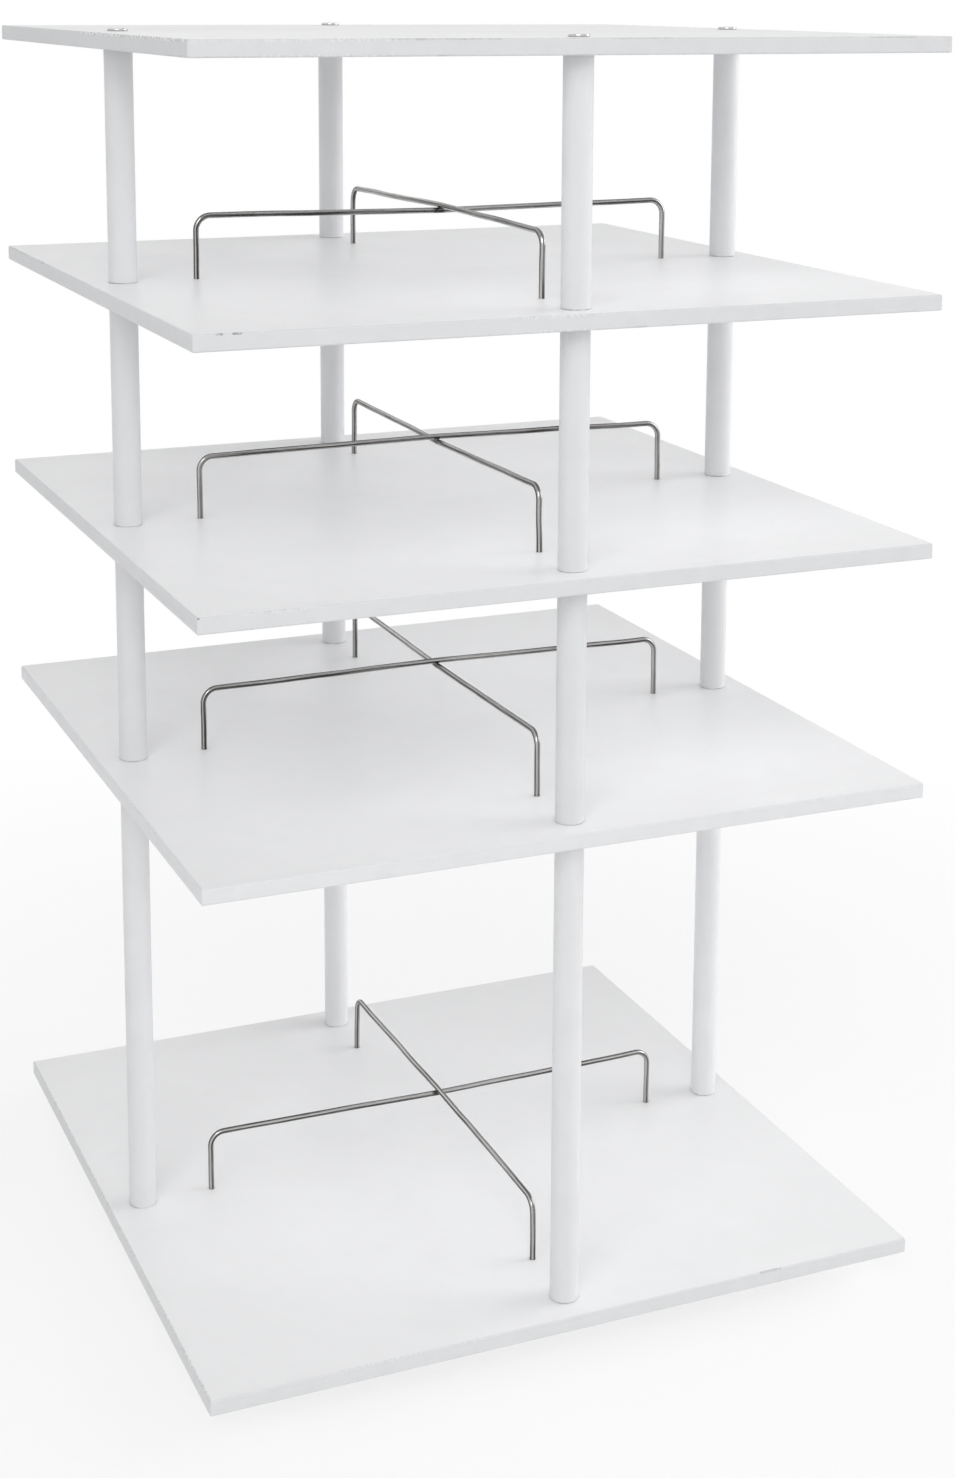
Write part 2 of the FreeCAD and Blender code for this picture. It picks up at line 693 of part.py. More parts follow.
def make_balls():
    name = "bearing_balls"
    body = new_body(name)
    radius = dim["ball_diameter"] / 2
    middle = dim["bearing_height"] / 2
    sketch = new_sketch(body, name + "_section", "XZ_Plane")
    circle = Part.Circle(point(race, middle), FreeCAD.Vector(0, 0, 1), radius.number)
    arc = sketch.addGeometry(Part.ArcOfCircle(circle, -math.pi / 2, math.pi / 2), False)
    bottom = (race, middle - radius)
    top = (race, middle + radius)
    line = sketch.addGeometry(Part.LineSegment(point(*bottom), point(*top)), False)
    sketch.addConstraint(Sketcher.Constraint("Coincident", arc, 1, line, 1))
    sketch.addConstraint(Sketcher.Constraint("Coincident", arc, 2, line, 2))
    sketch.addConstraint(Sketcher.Constraint("PointOnObject", arc, 3, line))
    place_point(sketch, line, 1, *bottom)
    place_point(sketch, line, 2, *top)
    draw_axis(sketch, race)
    turned = revolve(body, sketch, (sketch, ["Axis0"]))
    repeat_round(body, [turned], dim["ball_count"])
    finish(body, base_top)


def make_ball_cage():
    name = "ball_cage"
    body = new_body(name)
    underside = (dim["bearing_height"] - dim["cage_thickness"]) / 2
    band = new_sketch(body, name + "_band", "XY_Plane", underside)
    draw_circle(band, 0, 0, race * 2 + dim["cage_width"])
    draw_circle(band, 0, 0, race * 2 - dim["cage_width"])
    pad(body, band, dim["cage_thickness"])
    pocket_sketch = new_sketch(body, name + "_hole", "XY_Plane", underside)
    draw_circle(pocket_sketch, race, 0, dim["ball_diameter"] + dim["pocket_play"] * 2)
    hole = pocket(body, pocket_sketch, dim["cage_thickness"], upwards=True)
    repeat_round(body, [hole], dim["ball_count"])
    finish(body, base_top)


# The base board, its feet and the wood screws.
def make_base_board():
    name = "base_board"
    body = new_body(name)
    disc = new_sketch(body, name + "_disc", "XY_Plane")
    draw_circle(disc, 0, 0, dim["base_diameter"])
    slab = pad(body, disc, dim["base_thickness"])
    rims = edges_of(slab, lambda edge: edge.isClosed())
    round_edges(body, slab, rims, dim["base_edge_radius"])
    access = new_sketch(body, name + "_access_hole", "XY_Plane")
    draw_circle(access, screw_circle, 0, dim["access_hole_diameter"])
    pocket(body, access, dim["base_thickness"], upwards=True)
    pilots = new_sketch(body, name + "_pilot_holes", "XY_Plane", dim["base_thickness"])
    for right, back in CORNERS:
        draw_circle(pilots, screw_offset * right, screw_offset * back, screw_hole)
    pocket(body, pilots, dim["screw_length"] - dim["sheet_thickness"])
    foot_holes = new_sketch(body, name + "_foot_hole", "XY_Plane")
    turn = math.radians(FOOT_TURN)
    across = foot_circle * math.cos(turn)
    along = foot_circle * math.sin(turn)
    draw_circle(foot_holes, across, along, screw_hole)
    depth = dim["foot_screw_length"] - (dim["foot_height"] - foot_screw_head_z)
    hole = pocket(body, foot_holes, depth, upwards=True)
    repeat_round(body, [hole], dim["foot_count"])
    finish(body, base_bottom)


def make_feet():
    top_radius = dim["foot_diameter"] / 2
    floor_radius = top_radius - dim["foot_taper"]
    recess = dim["foot_recess_diameter"] / 2
    hole = screw_hole / 2
    outline = (
        (recess, 0),
        (floor_radius, 0),
        (top_radius, dim["foot_height"]),
        (hole, dim["foot_height"]),
        (hole, dim["foot_recess_depth"]),
        (recess, dim["foot_recess_depth"]),
    )
    body, _ = turned_ring("feet", foot_circle, dim["foot_count"], (outline,))
    finish(body, 0, FOOT_TURN)


def make_screws(name, circle, count, up, length, point_side, turn):
    """Pan-head wood screws: point_side is 1 where they point up from their seat, -1 down."""
    radius = dim["screw_diameter"] / 2
    head_radius = dim["screw_head_diameter"] / 2
    head_height = dim["screw_head_height"]
    chamfer = dim["screw_head_chamfer"]
    profile = (
        (0, -head_height),
        (head_radius - chamfer, -head_height),
        (head_radius, chamfer - head_height),
        (head_radius, 0),
        (radius, 0),
        (radius, length - dim["screw_point"]),
        (0, length),
    )
    outline = [(across, height * point_side) for across, height in profile]
    body, _ = turned_ring(name, circle, count, (outline,))
    finish(body, up, turn)


def make_tower():
    for name, up, with_hoops, on_bearing in (
        ("top_shelf", top_shelf_z, False, False),
        ("upper_shelf", upper_shelf_z, True, False),
        ("middle_shelf", middle_shelf_z, True, False),
        ("lower_shelf", lower_shelf_z, True, False),
        ("bottom_shelf", bottom_shelf_z, True, True),
    ):
        make_shelf(name, up, with_hoops, on_bearing)
    tiers = (
        ("tier_1", upper_shelf_z, dim["tier_height"], 1),
        ("tier_2", middle_shelf_z, dim["tier_height"], -1),
        ("tier_3", lower_shelf_z, dim["tier_height"], -1),
        ("boot_tier", bottom_shelf_z, dim["boot_tier_height"], 1),
    )
    for tier, shelf_z, length, bow_side in tiers:
        floor_z = shelf_z + dim["shelf_thickness"]
        for side, right, back in SIDES:
            make_post("%s_%s_post" % (tier, side), floor_z, length, right, back)
        make_inserts(tier + "_post_inserts", floor_z, length)
        make_hoop(tier + "_front_to_back_hoop", floor_z, QUARTER_TURN, bow_side)
        make_hoop(tier + "_side_to_side_hoop", floor_z, 0, -bow_side)
    make_studs("upper_shelf_studs", upper_shelf_z)
    make_studs("middle_shelf_studs", middle_shelf_z)
    make_studs("lower_shelf_studs", lower_shelf_z)
    make_bolts("top_shelf_bolts", top_face_z, 1)
    make_bolts("bottom_shelf_bolts", bottom_shelf_z, -1)


def make_turntable():
    make_bearing_plate("lower_bearing_plate", False)
    make_bearing_plate("upper_bearing_plate", True)
    make_retaining_ring()
    make_rivets()
    make_balls()
    make_ball_cage()
    make_base_board()
    make_feet()
    length = dim["screw_length"]
    lower_seat = base_top + dim["sheet_thickness"]
    upper_seat = bottom_shelf_z - dim["sheet_thickness"]
    make_screws("lower_plate_screws", screw_circle, SIDE_COUNT, lower_seat, length, -1, CORNER_TURN)
    make_screws("upper_plate_screws", screw_circle, SIDE_COUNT, upper_seat, length, 1, CORNER_TURN)
    foot_length = dim["foot_screw_length"]
    make_screws(
        "foot_screws", foot_circle, dim["foot_count"], foot_screw_head_z, foot_length, 1, FOOT_TURN
    )


def check(body):
    """Stops unless every feature of the body is built and its shape is whole."""
    for feature in [body] + list(body.Group):
        if {"Invalid", "Error"} & set(feature.State):
            raise RuntimeError("%s failed: %s" % (feature.Name, feature.State))
    if body.Shape.isNull() or not body.Shape.isValid():
        raise RuntimeError("%s has no valid shape" % body.Label)


make_tower()
make_turntable()
document.recompute()
for piece in pieces:
    check(piece)
os.makedirs("parts", exist_ok=True)
for piece in pieces:
    piece.Shape.exportStep("parts/%s.step" % piece.Label)
    solids = len(piece.Shape.Solids)
    print("%-36s %3d solids %14.1f mm3" % (piece.Label, solids, piece.Shape.Volume))
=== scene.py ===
import math

import bmesh
import bpy
from mathutils import Euler, Matrix, Vector


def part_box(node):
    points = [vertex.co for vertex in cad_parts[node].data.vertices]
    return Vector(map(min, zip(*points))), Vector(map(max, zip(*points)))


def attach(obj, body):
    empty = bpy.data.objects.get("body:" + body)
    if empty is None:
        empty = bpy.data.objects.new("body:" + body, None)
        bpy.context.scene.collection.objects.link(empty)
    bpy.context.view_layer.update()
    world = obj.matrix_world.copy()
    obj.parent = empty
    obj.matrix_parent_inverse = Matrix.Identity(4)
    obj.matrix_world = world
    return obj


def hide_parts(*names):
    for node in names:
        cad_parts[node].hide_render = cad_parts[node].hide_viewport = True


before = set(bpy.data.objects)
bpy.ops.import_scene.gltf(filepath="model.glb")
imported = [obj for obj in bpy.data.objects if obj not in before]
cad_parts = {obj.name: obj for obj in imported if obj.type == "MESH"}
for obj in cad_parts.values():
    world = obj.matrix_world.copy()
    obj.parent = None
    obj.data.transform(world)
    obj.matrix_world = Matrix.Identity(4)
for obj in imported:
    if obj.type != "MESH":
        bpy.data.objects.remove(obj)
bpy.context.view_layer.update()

# The finish of a white shoe tower that turns on its base. Metres, +Z up, origin on the floor
# below the turning axis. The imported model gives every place; this script adds the surfaces,
# the bent wires, the bolts and screws with their sockets, and the small parts of the bearing.

MM = 0.001
TIERS = ("tier_1", "tier_2", "tier_3", "boot_tier")

POST_CIRCLE = 275.0 * MM
POST_RADIUS = 11.5 * MM
HOOP_CIRCLE = 213.5 * MM
WIRE_RADIUS = 2.4 * MM

# Camera.
CAMERA_PLACE = (-0.7431, -1.8451, 1.0791)
CAMERA_TURN = (79.98, -0.26, -22.87)
LENS = 57.0
SHIFT_UP = -0.227

# Light of the room: its level at the horizon and overhead, and how it leans to one side.
ROOM_HORIZON = 1.38
ROOM_ZENITH = 0.30
ROOM_BRIGHT_SIDE = (0.165, -0.03, 0.0)

# Lamps: place, aim, width, height and power in watts.
LAMPS = {
    "key_softbox": ((3.1, -0.6, 1.75), (0.0, 0.0, 0.35), 2.2, 1.8, 38.0),
    "front_softbox": ((-1.3, -2.3, 2.6), (0.0, 0.0, 0.4), 2.0, 1.6, 33.0),
}

# From where to where, away from the tower, the floor turns from lit to plain white.
FLOOR_FADE = (0.4, 1.5)
FLOOR_RADIUS = 14.0
FLOOR_DROP = 0.2 * MM

# Colours, as linear values.
WHITE = (1.0, 1.0, 1.0, 1.0)
LAMINATE = (0.915, 0.917, 0.924)
EDGE_BAND = (1.0, 1.008, 1.023)
# Dark grey of seams and dark lines, also used for painted shade.
SEAM_AND_SHADE_GREY = (0.20, 0.195, 0.19)
POST_WHITE = (1.0, 1.007, 1.024)
CHIPPED = (0.36, 0.355, 0.35)
STEEL_DARK = (0.056, 0.053, 0.05)
STEEL_LIGHT = (0.59, 0.582, 0.572)
# Painted shade on a wire under the wire that crosses it.
CROSSING_SHADE = (0.02, 0.018, 0.017)
NICKEL = (0.78, 0.78, 0.775)
ZINC = (0.50, 0.51, 0.52)
SHEET_ZINC = (0.46, 0.47, 0.48)
BALL_STEEL = (0.55, 0.55, 0.56)
DUST = (0.62, 0.61, 0.59)
STUDIO_FLOOR = (0.93, 0.93, 0.935)
NATURAL_NYLON = (0.72, 0.70, 0.64)
BLACK_RUBBER = (0.018, 0.018, 0.019)
RUBBER_SCUFF = (0.25, 0.24, 0.23)
BASE_DUST = (0.52, 0.50, 0.47)

# How light each board's edge band and each post's lacquer are painted, as painted shade and light:
# bands darker than the faces, and lighter or darker per board, post side and tier, as light falls.
BAND_SHADE_LEVEL = {
    "top_shelf": 0.63,
    "upper_shelf": 0.65,
    "middle_shelf": 0.665,
    "lower_shelf": 0.725,
    "bottom_shelf": 0.70,
}
POST_SHADE_LEVEL = {"front": 0.685, "left": 0.69, "right": 0.74, "back": 0.735}
TALL_POST_LIGHT_GAIN = 1.06
SHELVES = tuple(BAND_SHADE_LEVEL)

# Where wear on a board begins to show and where it is whole. The first of three numbers is the
# depth, in from the arris, of the line that it follows.
SEAM_LINE = (1.1 * MM, 0.45 * MM, 0.1 * MM)
TORN_RIM = (1.0 * MM, 1.6 * MM, 0.4 * MM)
BAND_EDGE = (2.0 * MM, 0.2 * MM)
STRETCH_END = (0.0, 2.0 * MM)
FITTING_EDGE = (0.8 * MM, 0.1 * MM)

# Where the foil has lifted from a board's top arris, or the saw has frayed it: side, first and
# last point along it in mm, and how strong the dark seam and the fraying are.
FRONT = ((0.0, -1.0, 0.0), (1.0, 0.0, 0.0))
LEFT = ((-1.0, 0.0, 0.0), (0.0, 1.0, 0.0))
ARRIS_WEAR = {
    "top_shelf": (
        (FRONT, -159.0, -73.0, 0.3, 0.0),
        (FRONT, 12.0, 63.0, 0.2, 0.0),
        (FRONT, 229.0, 273.0, 0.3, 0.0),
        (LEFT, -306.0, 5.0, 0.0, 1.0),
    ),
    "upper_shelf": (
        (FRONT, -289.0, -282.0, 1.0, 0.0),
        (FRONT, -277.0, -268.0, 1.0, 0.0),
        (LEFT, 227.0, 254.0, 0.2, 0.0),
    ),
    "middle_shelf": ((FRONT, -306.0, -302.0, 1.0, 0.0),),
    "bottom_shelf": (
        (FRONT, 163.0, 185.0, 0.4, 0.0),
        (LEFT, -306.0, 306.0, 0.0, 0.3),
    ),
}


# Node trees.
def node(tree, kind, inputs=None, **settings):
    """Adds a node. Each input is a plain value or the output socket that feeds it."""
    made = tree.nodes.new(kind)
    for name, value in settings.items():
        setattr(made, name, value)
    for name, value in (inputs or {}).items():
        if isinstance(value, bpy.types.NodeSocket):
            tree.links.new(value, made.inputs[name])
        else:
            made.inputs[name].default_value = value
    return made


def output(tree, kind, inputs=None, **settings):
    """Adds a node and returns its first output."""
    return node(tree, kind, inputs, **settings).outputs[0]


def math_node(tree, operation, first, second=0.0, third=0.0, clamp=False):
    inputs = {0: first, 1: second, 2: third}
    return output(tree, "ShaderNodeMath", inputs, operation=operation, use_clamp=clamp)


def product(tree, first, second, clamp=False):
    return math_node(tree, "MULTIPLY", first, second, clamp=clamp)


def total(tree, first, second, clamp=False):
    return math_node(tree, "ADD", first, second, clamp=clamp)


def difference(tree, first, second):
    return math_node(tree, "SUBTRACT", first, second)


def smooth_step(tree, value, start, end, low=0.0, high=1.0):
    """Runs smoothly from low to high while value runs from start to end."""
    inputs = {"Value": value, "From Min": start, "From Max": end, "To Min": low, "To Max": high}
    return output(tree, "ShaderNodeMapRange", inputs, interpolation_type="SMOOTHSTEP")


def noise(tree, vector, scale, detail=2.0, roughness=0.5):
    inputs = {"Vector": vector, "Scale": scale, "Detail": detail, "Roughness": roughness}
    return node(tree, "ShaderNodeTexNoise", inputs).outputs["Fac"]


def seeded_noise(tree, given, scale, detail):
    """Noise over a group's Vector that its Seed changes."""
    inputs = {"Vector": given["Vector"], "W": given["Seed"], "Scale": scale, "Detail": detail}
    return node(tree, "ShaderNodeTexNoise", inputs, noise_dimensions="4D").outputs["Fac"]


def blend_colour(tree, factor, first, second):
    """A colour that goes from first to second with factor."""
    inputs = {0: factor}
    for index, colour in ((6, first), (7, second)):
        plain = not isinstance(colour, bpy.types.NodeSocket)
        inputs[index] = (*colour, 1.0) if plain else colour
    return node(tree, "ShaderNodeMix", inputs, data_type="RGBA").outputs[2]


def axes(tree, vector):
    return node(tree, "ShaderNodeSeparateXYZ", {0: vector}).outputs


def combined(tree, across=0.0, along=0.0, up=0.0):
    return output(tree, "ShaderNodeCombineXYZ", {"X": across, "Y": along, "Z": up})


def vector_math(tree, operation, first, second=(0.0, 0.0, 0.0)):
    made = node(tree, "ShaderNodeVectorMath", {0: first, 1: second}, operation=operation)
    return made.outputs["Value" if operation in ("LENGTH", "DOT_PRODUCT") else "Vector"]


def scaled(tree, vector, factor):
    return output(tree, "ShaderNodeVectorMath", {0: vector, "Scale": factor}, operation="SCALE")


def from_z_axis(tree, place):
    return vector_math(tree, "LENGTH", vector_math(tree, "MULTIPLY", place, (1.0, 1.0, 0.0)))


def on_circle(tree, angle, radius, up):
    across = product(tree, math_node(tree, "COSINE", angle), radius)
    along = product(tree, math_node(tree, "SINE", angle), radius)
    return combined(tree, across, along, up)


SOCKET_KINDS = {float: "Float", int: "Int", tuple: "Vector"}


def new_group(name, inputs, kind="ShaderNodeTree"):
    """An empty node group, with its input sockets.

    An input without a default is of the kind that its name says.
    """
    tree = bpy.data.node_groups.new(name, kind)
    for socket, default in inputs.items():
        form = SOCKET_KINDS.get(type(default), socket)
        made = tree.interface.new_socket(socket, in_out="INPUT", socket_type="NodeSocket" + form)
        if default is not None:
            made.default_value = default
    return tree, tree.nodes.new("NodeGroupInput").outputs


def finished_group(tree, results):
    """Gives a group its outputs. Each is a number, unless its name says another kind."""
    for socket in results:
        form = socket if socket in ("Color", "Geometry") else "Float"
        tree.interface.new_socket(socket, in_out="OUTPUT", socket_type="NodeSocket" + form)
    node(tree, "NodeGroupOutput", results)
    return tree


def cloudy_tone_group():
    """A faint, large patchiness of a colour, with the same patches as a mask."""
    inputs = {"Vector": None, "Color": None, "Scale": 8.0, "Depth": 0.03}
    tree, given = new_group("cloudy_tone", inputs)
    patches = smooth_step(tree, noise(tree, given["Vector"], given["Scale"], 4.0, 0.6), 0.3, 0.7)
    gain = difference(tree, 1.0, product(tree, patches, given["Depth"]))
    results = {"Color": scaled(tree, given["Color"], gain), "Patches": patches}
    return finished_group(tree, results)


def lacquer_skin_group():
    """The fine peel and the long waves of a lacquered or foiled surface, as a height."""
    inputs = {"Vector": None, "Peel Scale": 700.0, "Wave Scale": 30.0, "Wave Share": 0.4}
    tree, given = new_group("lacquer_skin", inputs)
    peel = noise(tree, given["Vector"], given["Peel Scale"], 1.0)
    wave = product(tree, noise(tree, given["Vector"], given["Wave Scale"]), given["Wave Share"])
    return finished_group(tree, {"Height": total(tree, peel, wave)})


def board_edges_group():
    """Masks of a square board: its side faces, and sparse wear along its arrises.

    Seam is thin dark dashes. Fray runs from -1, a dark bite, to 1, a pale torn bit.
    """
    inputs = {"Vector": None, "Half Side": 0.305, "Half Thickness": 0.00635, "Seed": 0.0}
    tree, given = new_group("board_edges", inputs)
    parts = axes(tree, vector_math(tree, "ABSOLUTE", given["Vector"]))
    reach = math_node(tree, "MAXIMUM", parts["X"], parts["Y"])
    from_side = difference(tree, given["Half Side"], reach)
    from_face = difference(tree, given["Half Thickness"], parts["Z"])
    from_arris = total(tree, from_side, from_face)
    lifted = smooth_step(tree, seeded_noise(tree, given, 8.0, 1.0), 0.62, 0.7)
    dashes = smooth_step(tree, seeded_noise(tree, given, 80.0, 2.0), 0.48, 0.56)
    breaks = product(tree, lifted, dashes)
    frayed = smooth_step(tree, seeded_noise(tree, given, 5.0, 1.0), 0.42, 0.34)
    results = {
        "Band": smooth_step(tree, from_side, *BAND_EDGE),
        "Seam": product(tree, along_arris(tree, from_arris, *SEAM_LINE), breaks),
        "Fray": product(tree, frayed, torn_rim(tree, given, from_arris)),
    }
    return finished_group(tree, results)


def along_arris(tree, from_arris, depth, start, whole):
    """A line along the arris, at this depth in from it."""
    offset = math_node(tree, "ABSOLUTE", difference(tree, from_arris, depth))
    return smooth_step(tree, offset, start, whole)


def torn_rim(tree, given, from_arris):
    """Fine pale and dark bits along the rounding, from -1 to 1."""
    bits = noise(tree, given["Vector"], 380.0, 3.0, 0.6)
    bits = smooth_step(tree, bits, 0.36, 0.64, -1.0, 1.0)
    return product(tree, along_arris(tree, from_arris, *TORN_RIM), bits)


def arris_stretch_group():
    """The seam line and the fraying on one stretch of a board's top arris, on one side."""
    inputs = {
        "Vector": None,
        "Outward": FRONT[0],
        "Lengthwise": FRONT[1],
        "Half Side": 0.305,
        "Half Thickness": 0.00635,
        "Start": -0.1,
        "End": 0.1,
    }
    tree, given = new_group("arris_stretch", inputs)
    outward = vector_math(tree, "DOT_PRODUCT", given["Vector"], given["Outward"])
    along = vector_math(tree, "DOT_PRODUCT", given["Vector"], given["Lengthwise"])
    from_side = difference(tree, given["Half Side"], outward)
    from_top = difference(tree, given["Half Thickness"], axes(tree, given["Vector"])["Z"])
    from_arris = total(tree, from_side, from_top)
    started = smooth_step(tree, difference(tree, along, given["Start"]), *STRETCH_END)
    unended = smooth_step(tree, difference(tree, given["End"], along), *STRETCH_END)
    within = product(tree, started, unended)
    uneven = smooth_step(tree, noise(tree, given["Vector"], 240.0), 0.3, 0.6, 0.3, 1.0)
    line = product(tree, along_arris(tree, from_arris, *SEAM_LINE), uneven)
    fray = product(tree, torn_rim(tree, given, from_arris), within)
    return finished_group(tree, {"Seam": product(tree, line, within), "Fray": fray})


def fitting_mark_group():
    """The dark line, and a faint patchy darkening a few mm wide, round what is let into the middle of
    each side of a board.
    """
    inputs = {
        "Vector": None,
        "From Centre": 0.275,
        "Radius": 0.0115,
        "Spread": 0.004,
        "Low": 0.0,
        "High": 1.0,
    }
    tree, given = new_group("fitting_mark", inputs)
    rise = axes(tree, given["Vector"])["Z"]
    parts = axes(tree, vector_math(tree, "ABSOLUTE", given["Vector"]))
    reach = math_node(tree, "MAXIMUM", parts["X"], parts["Y"])
    outward = difference(tree, reach, given["From Centre"])
    sideways = math_node(tree, "MINIMUM", parts["X"], parts["Y"])
    distance = vector_math(tree, "LENGTH", combined(tree, outward, sideways))
    past = difference(tree, distance, given["Radius"])
    above = math_node(tree, "GREATER_THAN", rise, given["Low"])
    below = math_node(tree, "LESS_THAN", rise, given["High"])
    inside = product(tree, above, below)
    breaks = smooth_step(tree, noise(tree, given["Vector"], 110.0), 0.42, 0.58, 0.25, 1.0)
    line = product(tree, smooth_step(tree, past, *FITTING_EDGE), breaks)
    near = smooth_step(tree, math_node(tree, "DIVIDE", past, given["Spread"]), 1.0, 0.0)
    patches = noise(tree, given["Vector"], 160.0, 3.0, 0.6)
    darkened_ring = product(tree, near, smooth_step(tree, patches, 0.35, 0.65, 0.3, 1.0))
    results = {"Line": product(tree, line, inside), "Grime": product(tree, darkened_ring, inside)}
    return finished_group(tree, results)


def wire_painted_reflections_group():
    """Painted reflections on a drawn wire: bright and dark lines along it, from its lengthwise and round
    attributes.
    """
    inputs = {"Along": 0.0, "Around": 0.0, "Lines": 4.0, "Streaks": 1.1, "Stretch": 9.0}
    tree, given = new_group("wire_painted_reflections", inputs)
    turn = product(tree, given["Around"], math.tau)
    spot = on_circle(tree, turn, given["Streaks"], product(tree, given["Along"], given["Stretch"]))
    wander = product(tree, noise(tree, spot, 1.0), 5.0)
    phase = product(tree, turn, given["Lines"])
    reflection_lines = math_node(tree, "COSINE", total(tree, phase, wander))
    reflection_lines = smooth_step(tree, reflection_lines, -0.5, 0.85, 0.0, 0.85)
    patches = smooth_step(tree, noise(tree, spot, 2.3), 0.4, 0.65, 0.0, 0.4)
    reflection_streak = total(tree, reflection_lines, patches, clamp=True)
    return finished_group(tree, {"Streak": reflection_streak, "Fine": noise(tree, spot, 9.0, 3.0, 0.7)})


def plated_grain_group():
    """The spangle, small stains and fine grain of plated steel."""
    inputs = {"Vector": None, "Spangle Scale": 120.0, "Grain Scale": 2500.0}
    tree, given = new_group("plated_grain", inputs)
    inputs = {"Vector": given["Vector"], "Scale": given["Spangle Scale"]}
    cells = node(tree, "ShaderNodeTexVoronoi", inputs).outputs["Color"]
    stain_scale = product(tree, given["Spangle Scale"], 0.35)
    stain = noise(tree, given["Vector"], stain_scale, 4.0, 0.65)
    results = {
        "Spangle": output(tree, "ShaderNodeSeparateColor", {0: cells}),
        "Stain": smooth_step(tree, stain, 0.5, 0.72),
        "Grain": noise(tree, given["Vector"], given["Grain Scale"]),
    }
    return finished_group(tree, results)


def head_painted_light_group():
    """Painted reflection bands across a fastener's head, and painted shade in its recess."""
    inputs = {"From Axis": 0.0, "Recess": 0.0022, "Rim": 0.008, "Bands": 3.0}
    tree, given = new_group("head_painted_light", inputs)
    share = math_node(tree, "DIVIDE", given["From Axis"], given["Rim"])
    turn = product(tree, share, product(tree, given["Bands"], math.tau))
    reflection_bands = smooth_step(tree, math_node(tree, "COSINE", turn), -0.2, 0.9)
    inward = math_node(tree, "DIVIDE", given["From Axis"], given["Recess"])
    painted_recess_shade = smooth_step(tree, inward, 1.15, 0.85)
    return finished_group(tree, {"Bands": reflection_bands, "Recess": painted_recess_shade})


def settled_dust_group():
    """Thin dust that settles on what faces up."""
    tree, given = new_group("settled_dust", {"Vector": None, "Amount": 0.2})
    facing = node(tree, "ShaderNodeNewGeometry").outputs["Normal"]
    flat = smooth_step(tree, axes(tree, facing)["Z"], 0.6, 1.0)
    drifts = noise(tree, given["Vector"], 45.0, 5.0, 0.65)
    laid = product(tree, flat, smooth_step(tree, drifts, 0.42, 0.75))
    return finished_group(tree, {"Dust": product(tree, laid, given["Amount"])})


GROUP_TREES = (
    cloudy_tone_group(),
    lacquer_skin_group(),
    board_edges_group(),
    arris_stretch_group(),
    fitting_mark_group(),
    wire_painted_reflections_group(),
    plated_grain_group(),
    head_painted_light_group(),
    settled_dust_group(),
)
GROUPS = {group.name: group for group in GROUP_TREES}


def place_group(tree, name, inputs):
    return node(tree, "ShaderNodeGroup", inputs, node_tree=GROUPS[name]).outputs


def emptied(block):
    """The node tree of a material or a world, without its first nodes."""
    block.use_nodes = True
    block.node_tree.nodes.clear()
    return block.node_tree


def new_material(name):
    material = bpy.data.materials.new(name)
    return material, emptied(material)


def surfaced(material, colour, rough, normal, **uniform):
    """Ends a material in one Principled shader. Uniform values sit on its own sockets."""
    inputs = {socket.replace("_", " "): value for socket, value in uniform.items()}
    inputs.update({"Base Color": colour, "Roughness": rough, "Normal": normal})
    shader = output(material.node_tree, "ShaderNodeBsdfPrincipled", inputs)
    node(material.node_tree, "ShaderNodeOutputMaterial", {"Surface": shader})
    return material


def object_place(tree, centre=(0.0, 0.0, 0.0)):
    """Object coordinates, counted from centre."""
    place = node(tree, "ShaderNodeTexCoord").outputs["Object"]
    shift = tuple(-value for value in centre)
    return output(tree, "ShaderNodeMapping", {"Vector": place, "Location": shift})


def kept_value(tree, name):
    """What a geometry tree kept on the points under name."""
    return node(tree, "ShaderNodeAttribute", attribute_name=name).outputs["Fac"]


def bump(tree, height, strength, distance):
    """The normal of a surface with small heights on it."""
    inputs = {"Height": height, "Strength": strength, "Distance": distance}
    return output(tree, "ShaderNodeBump", inputs)


def ranged(tree, mask, low, high):
    """Takes a mask of 0 to 1 to the range from low to high."""
    return smooth_step(tree, mask, 0.0, 1.0, low, high)


def toned(tree, place, colour, scale, depth):
    """The outputs of a cloudy tone of colour."""
    inputs = {"Vector": place, "Color": (*colour, 1.0), "Scale": scale, "Depth": depth}
    return place_group(tree, "cloudy_tone", inputs)


def tinted(tint, level):
    return tuple(level * value for value in tint)


def skin_height(tree, place, peel_scale, wave_scale):
    inputs = {"Vector": place, "Peel Scale": peel_scale, "Wave Scale": wave_scale}
    return place_group(tree, "lacquer_skin", inputs)["Height"]


def settled_dust(tree, place, amount):
    return place_group(tree, "settled_dust", {"Vector": place, "Amount": amount})["Dust"]


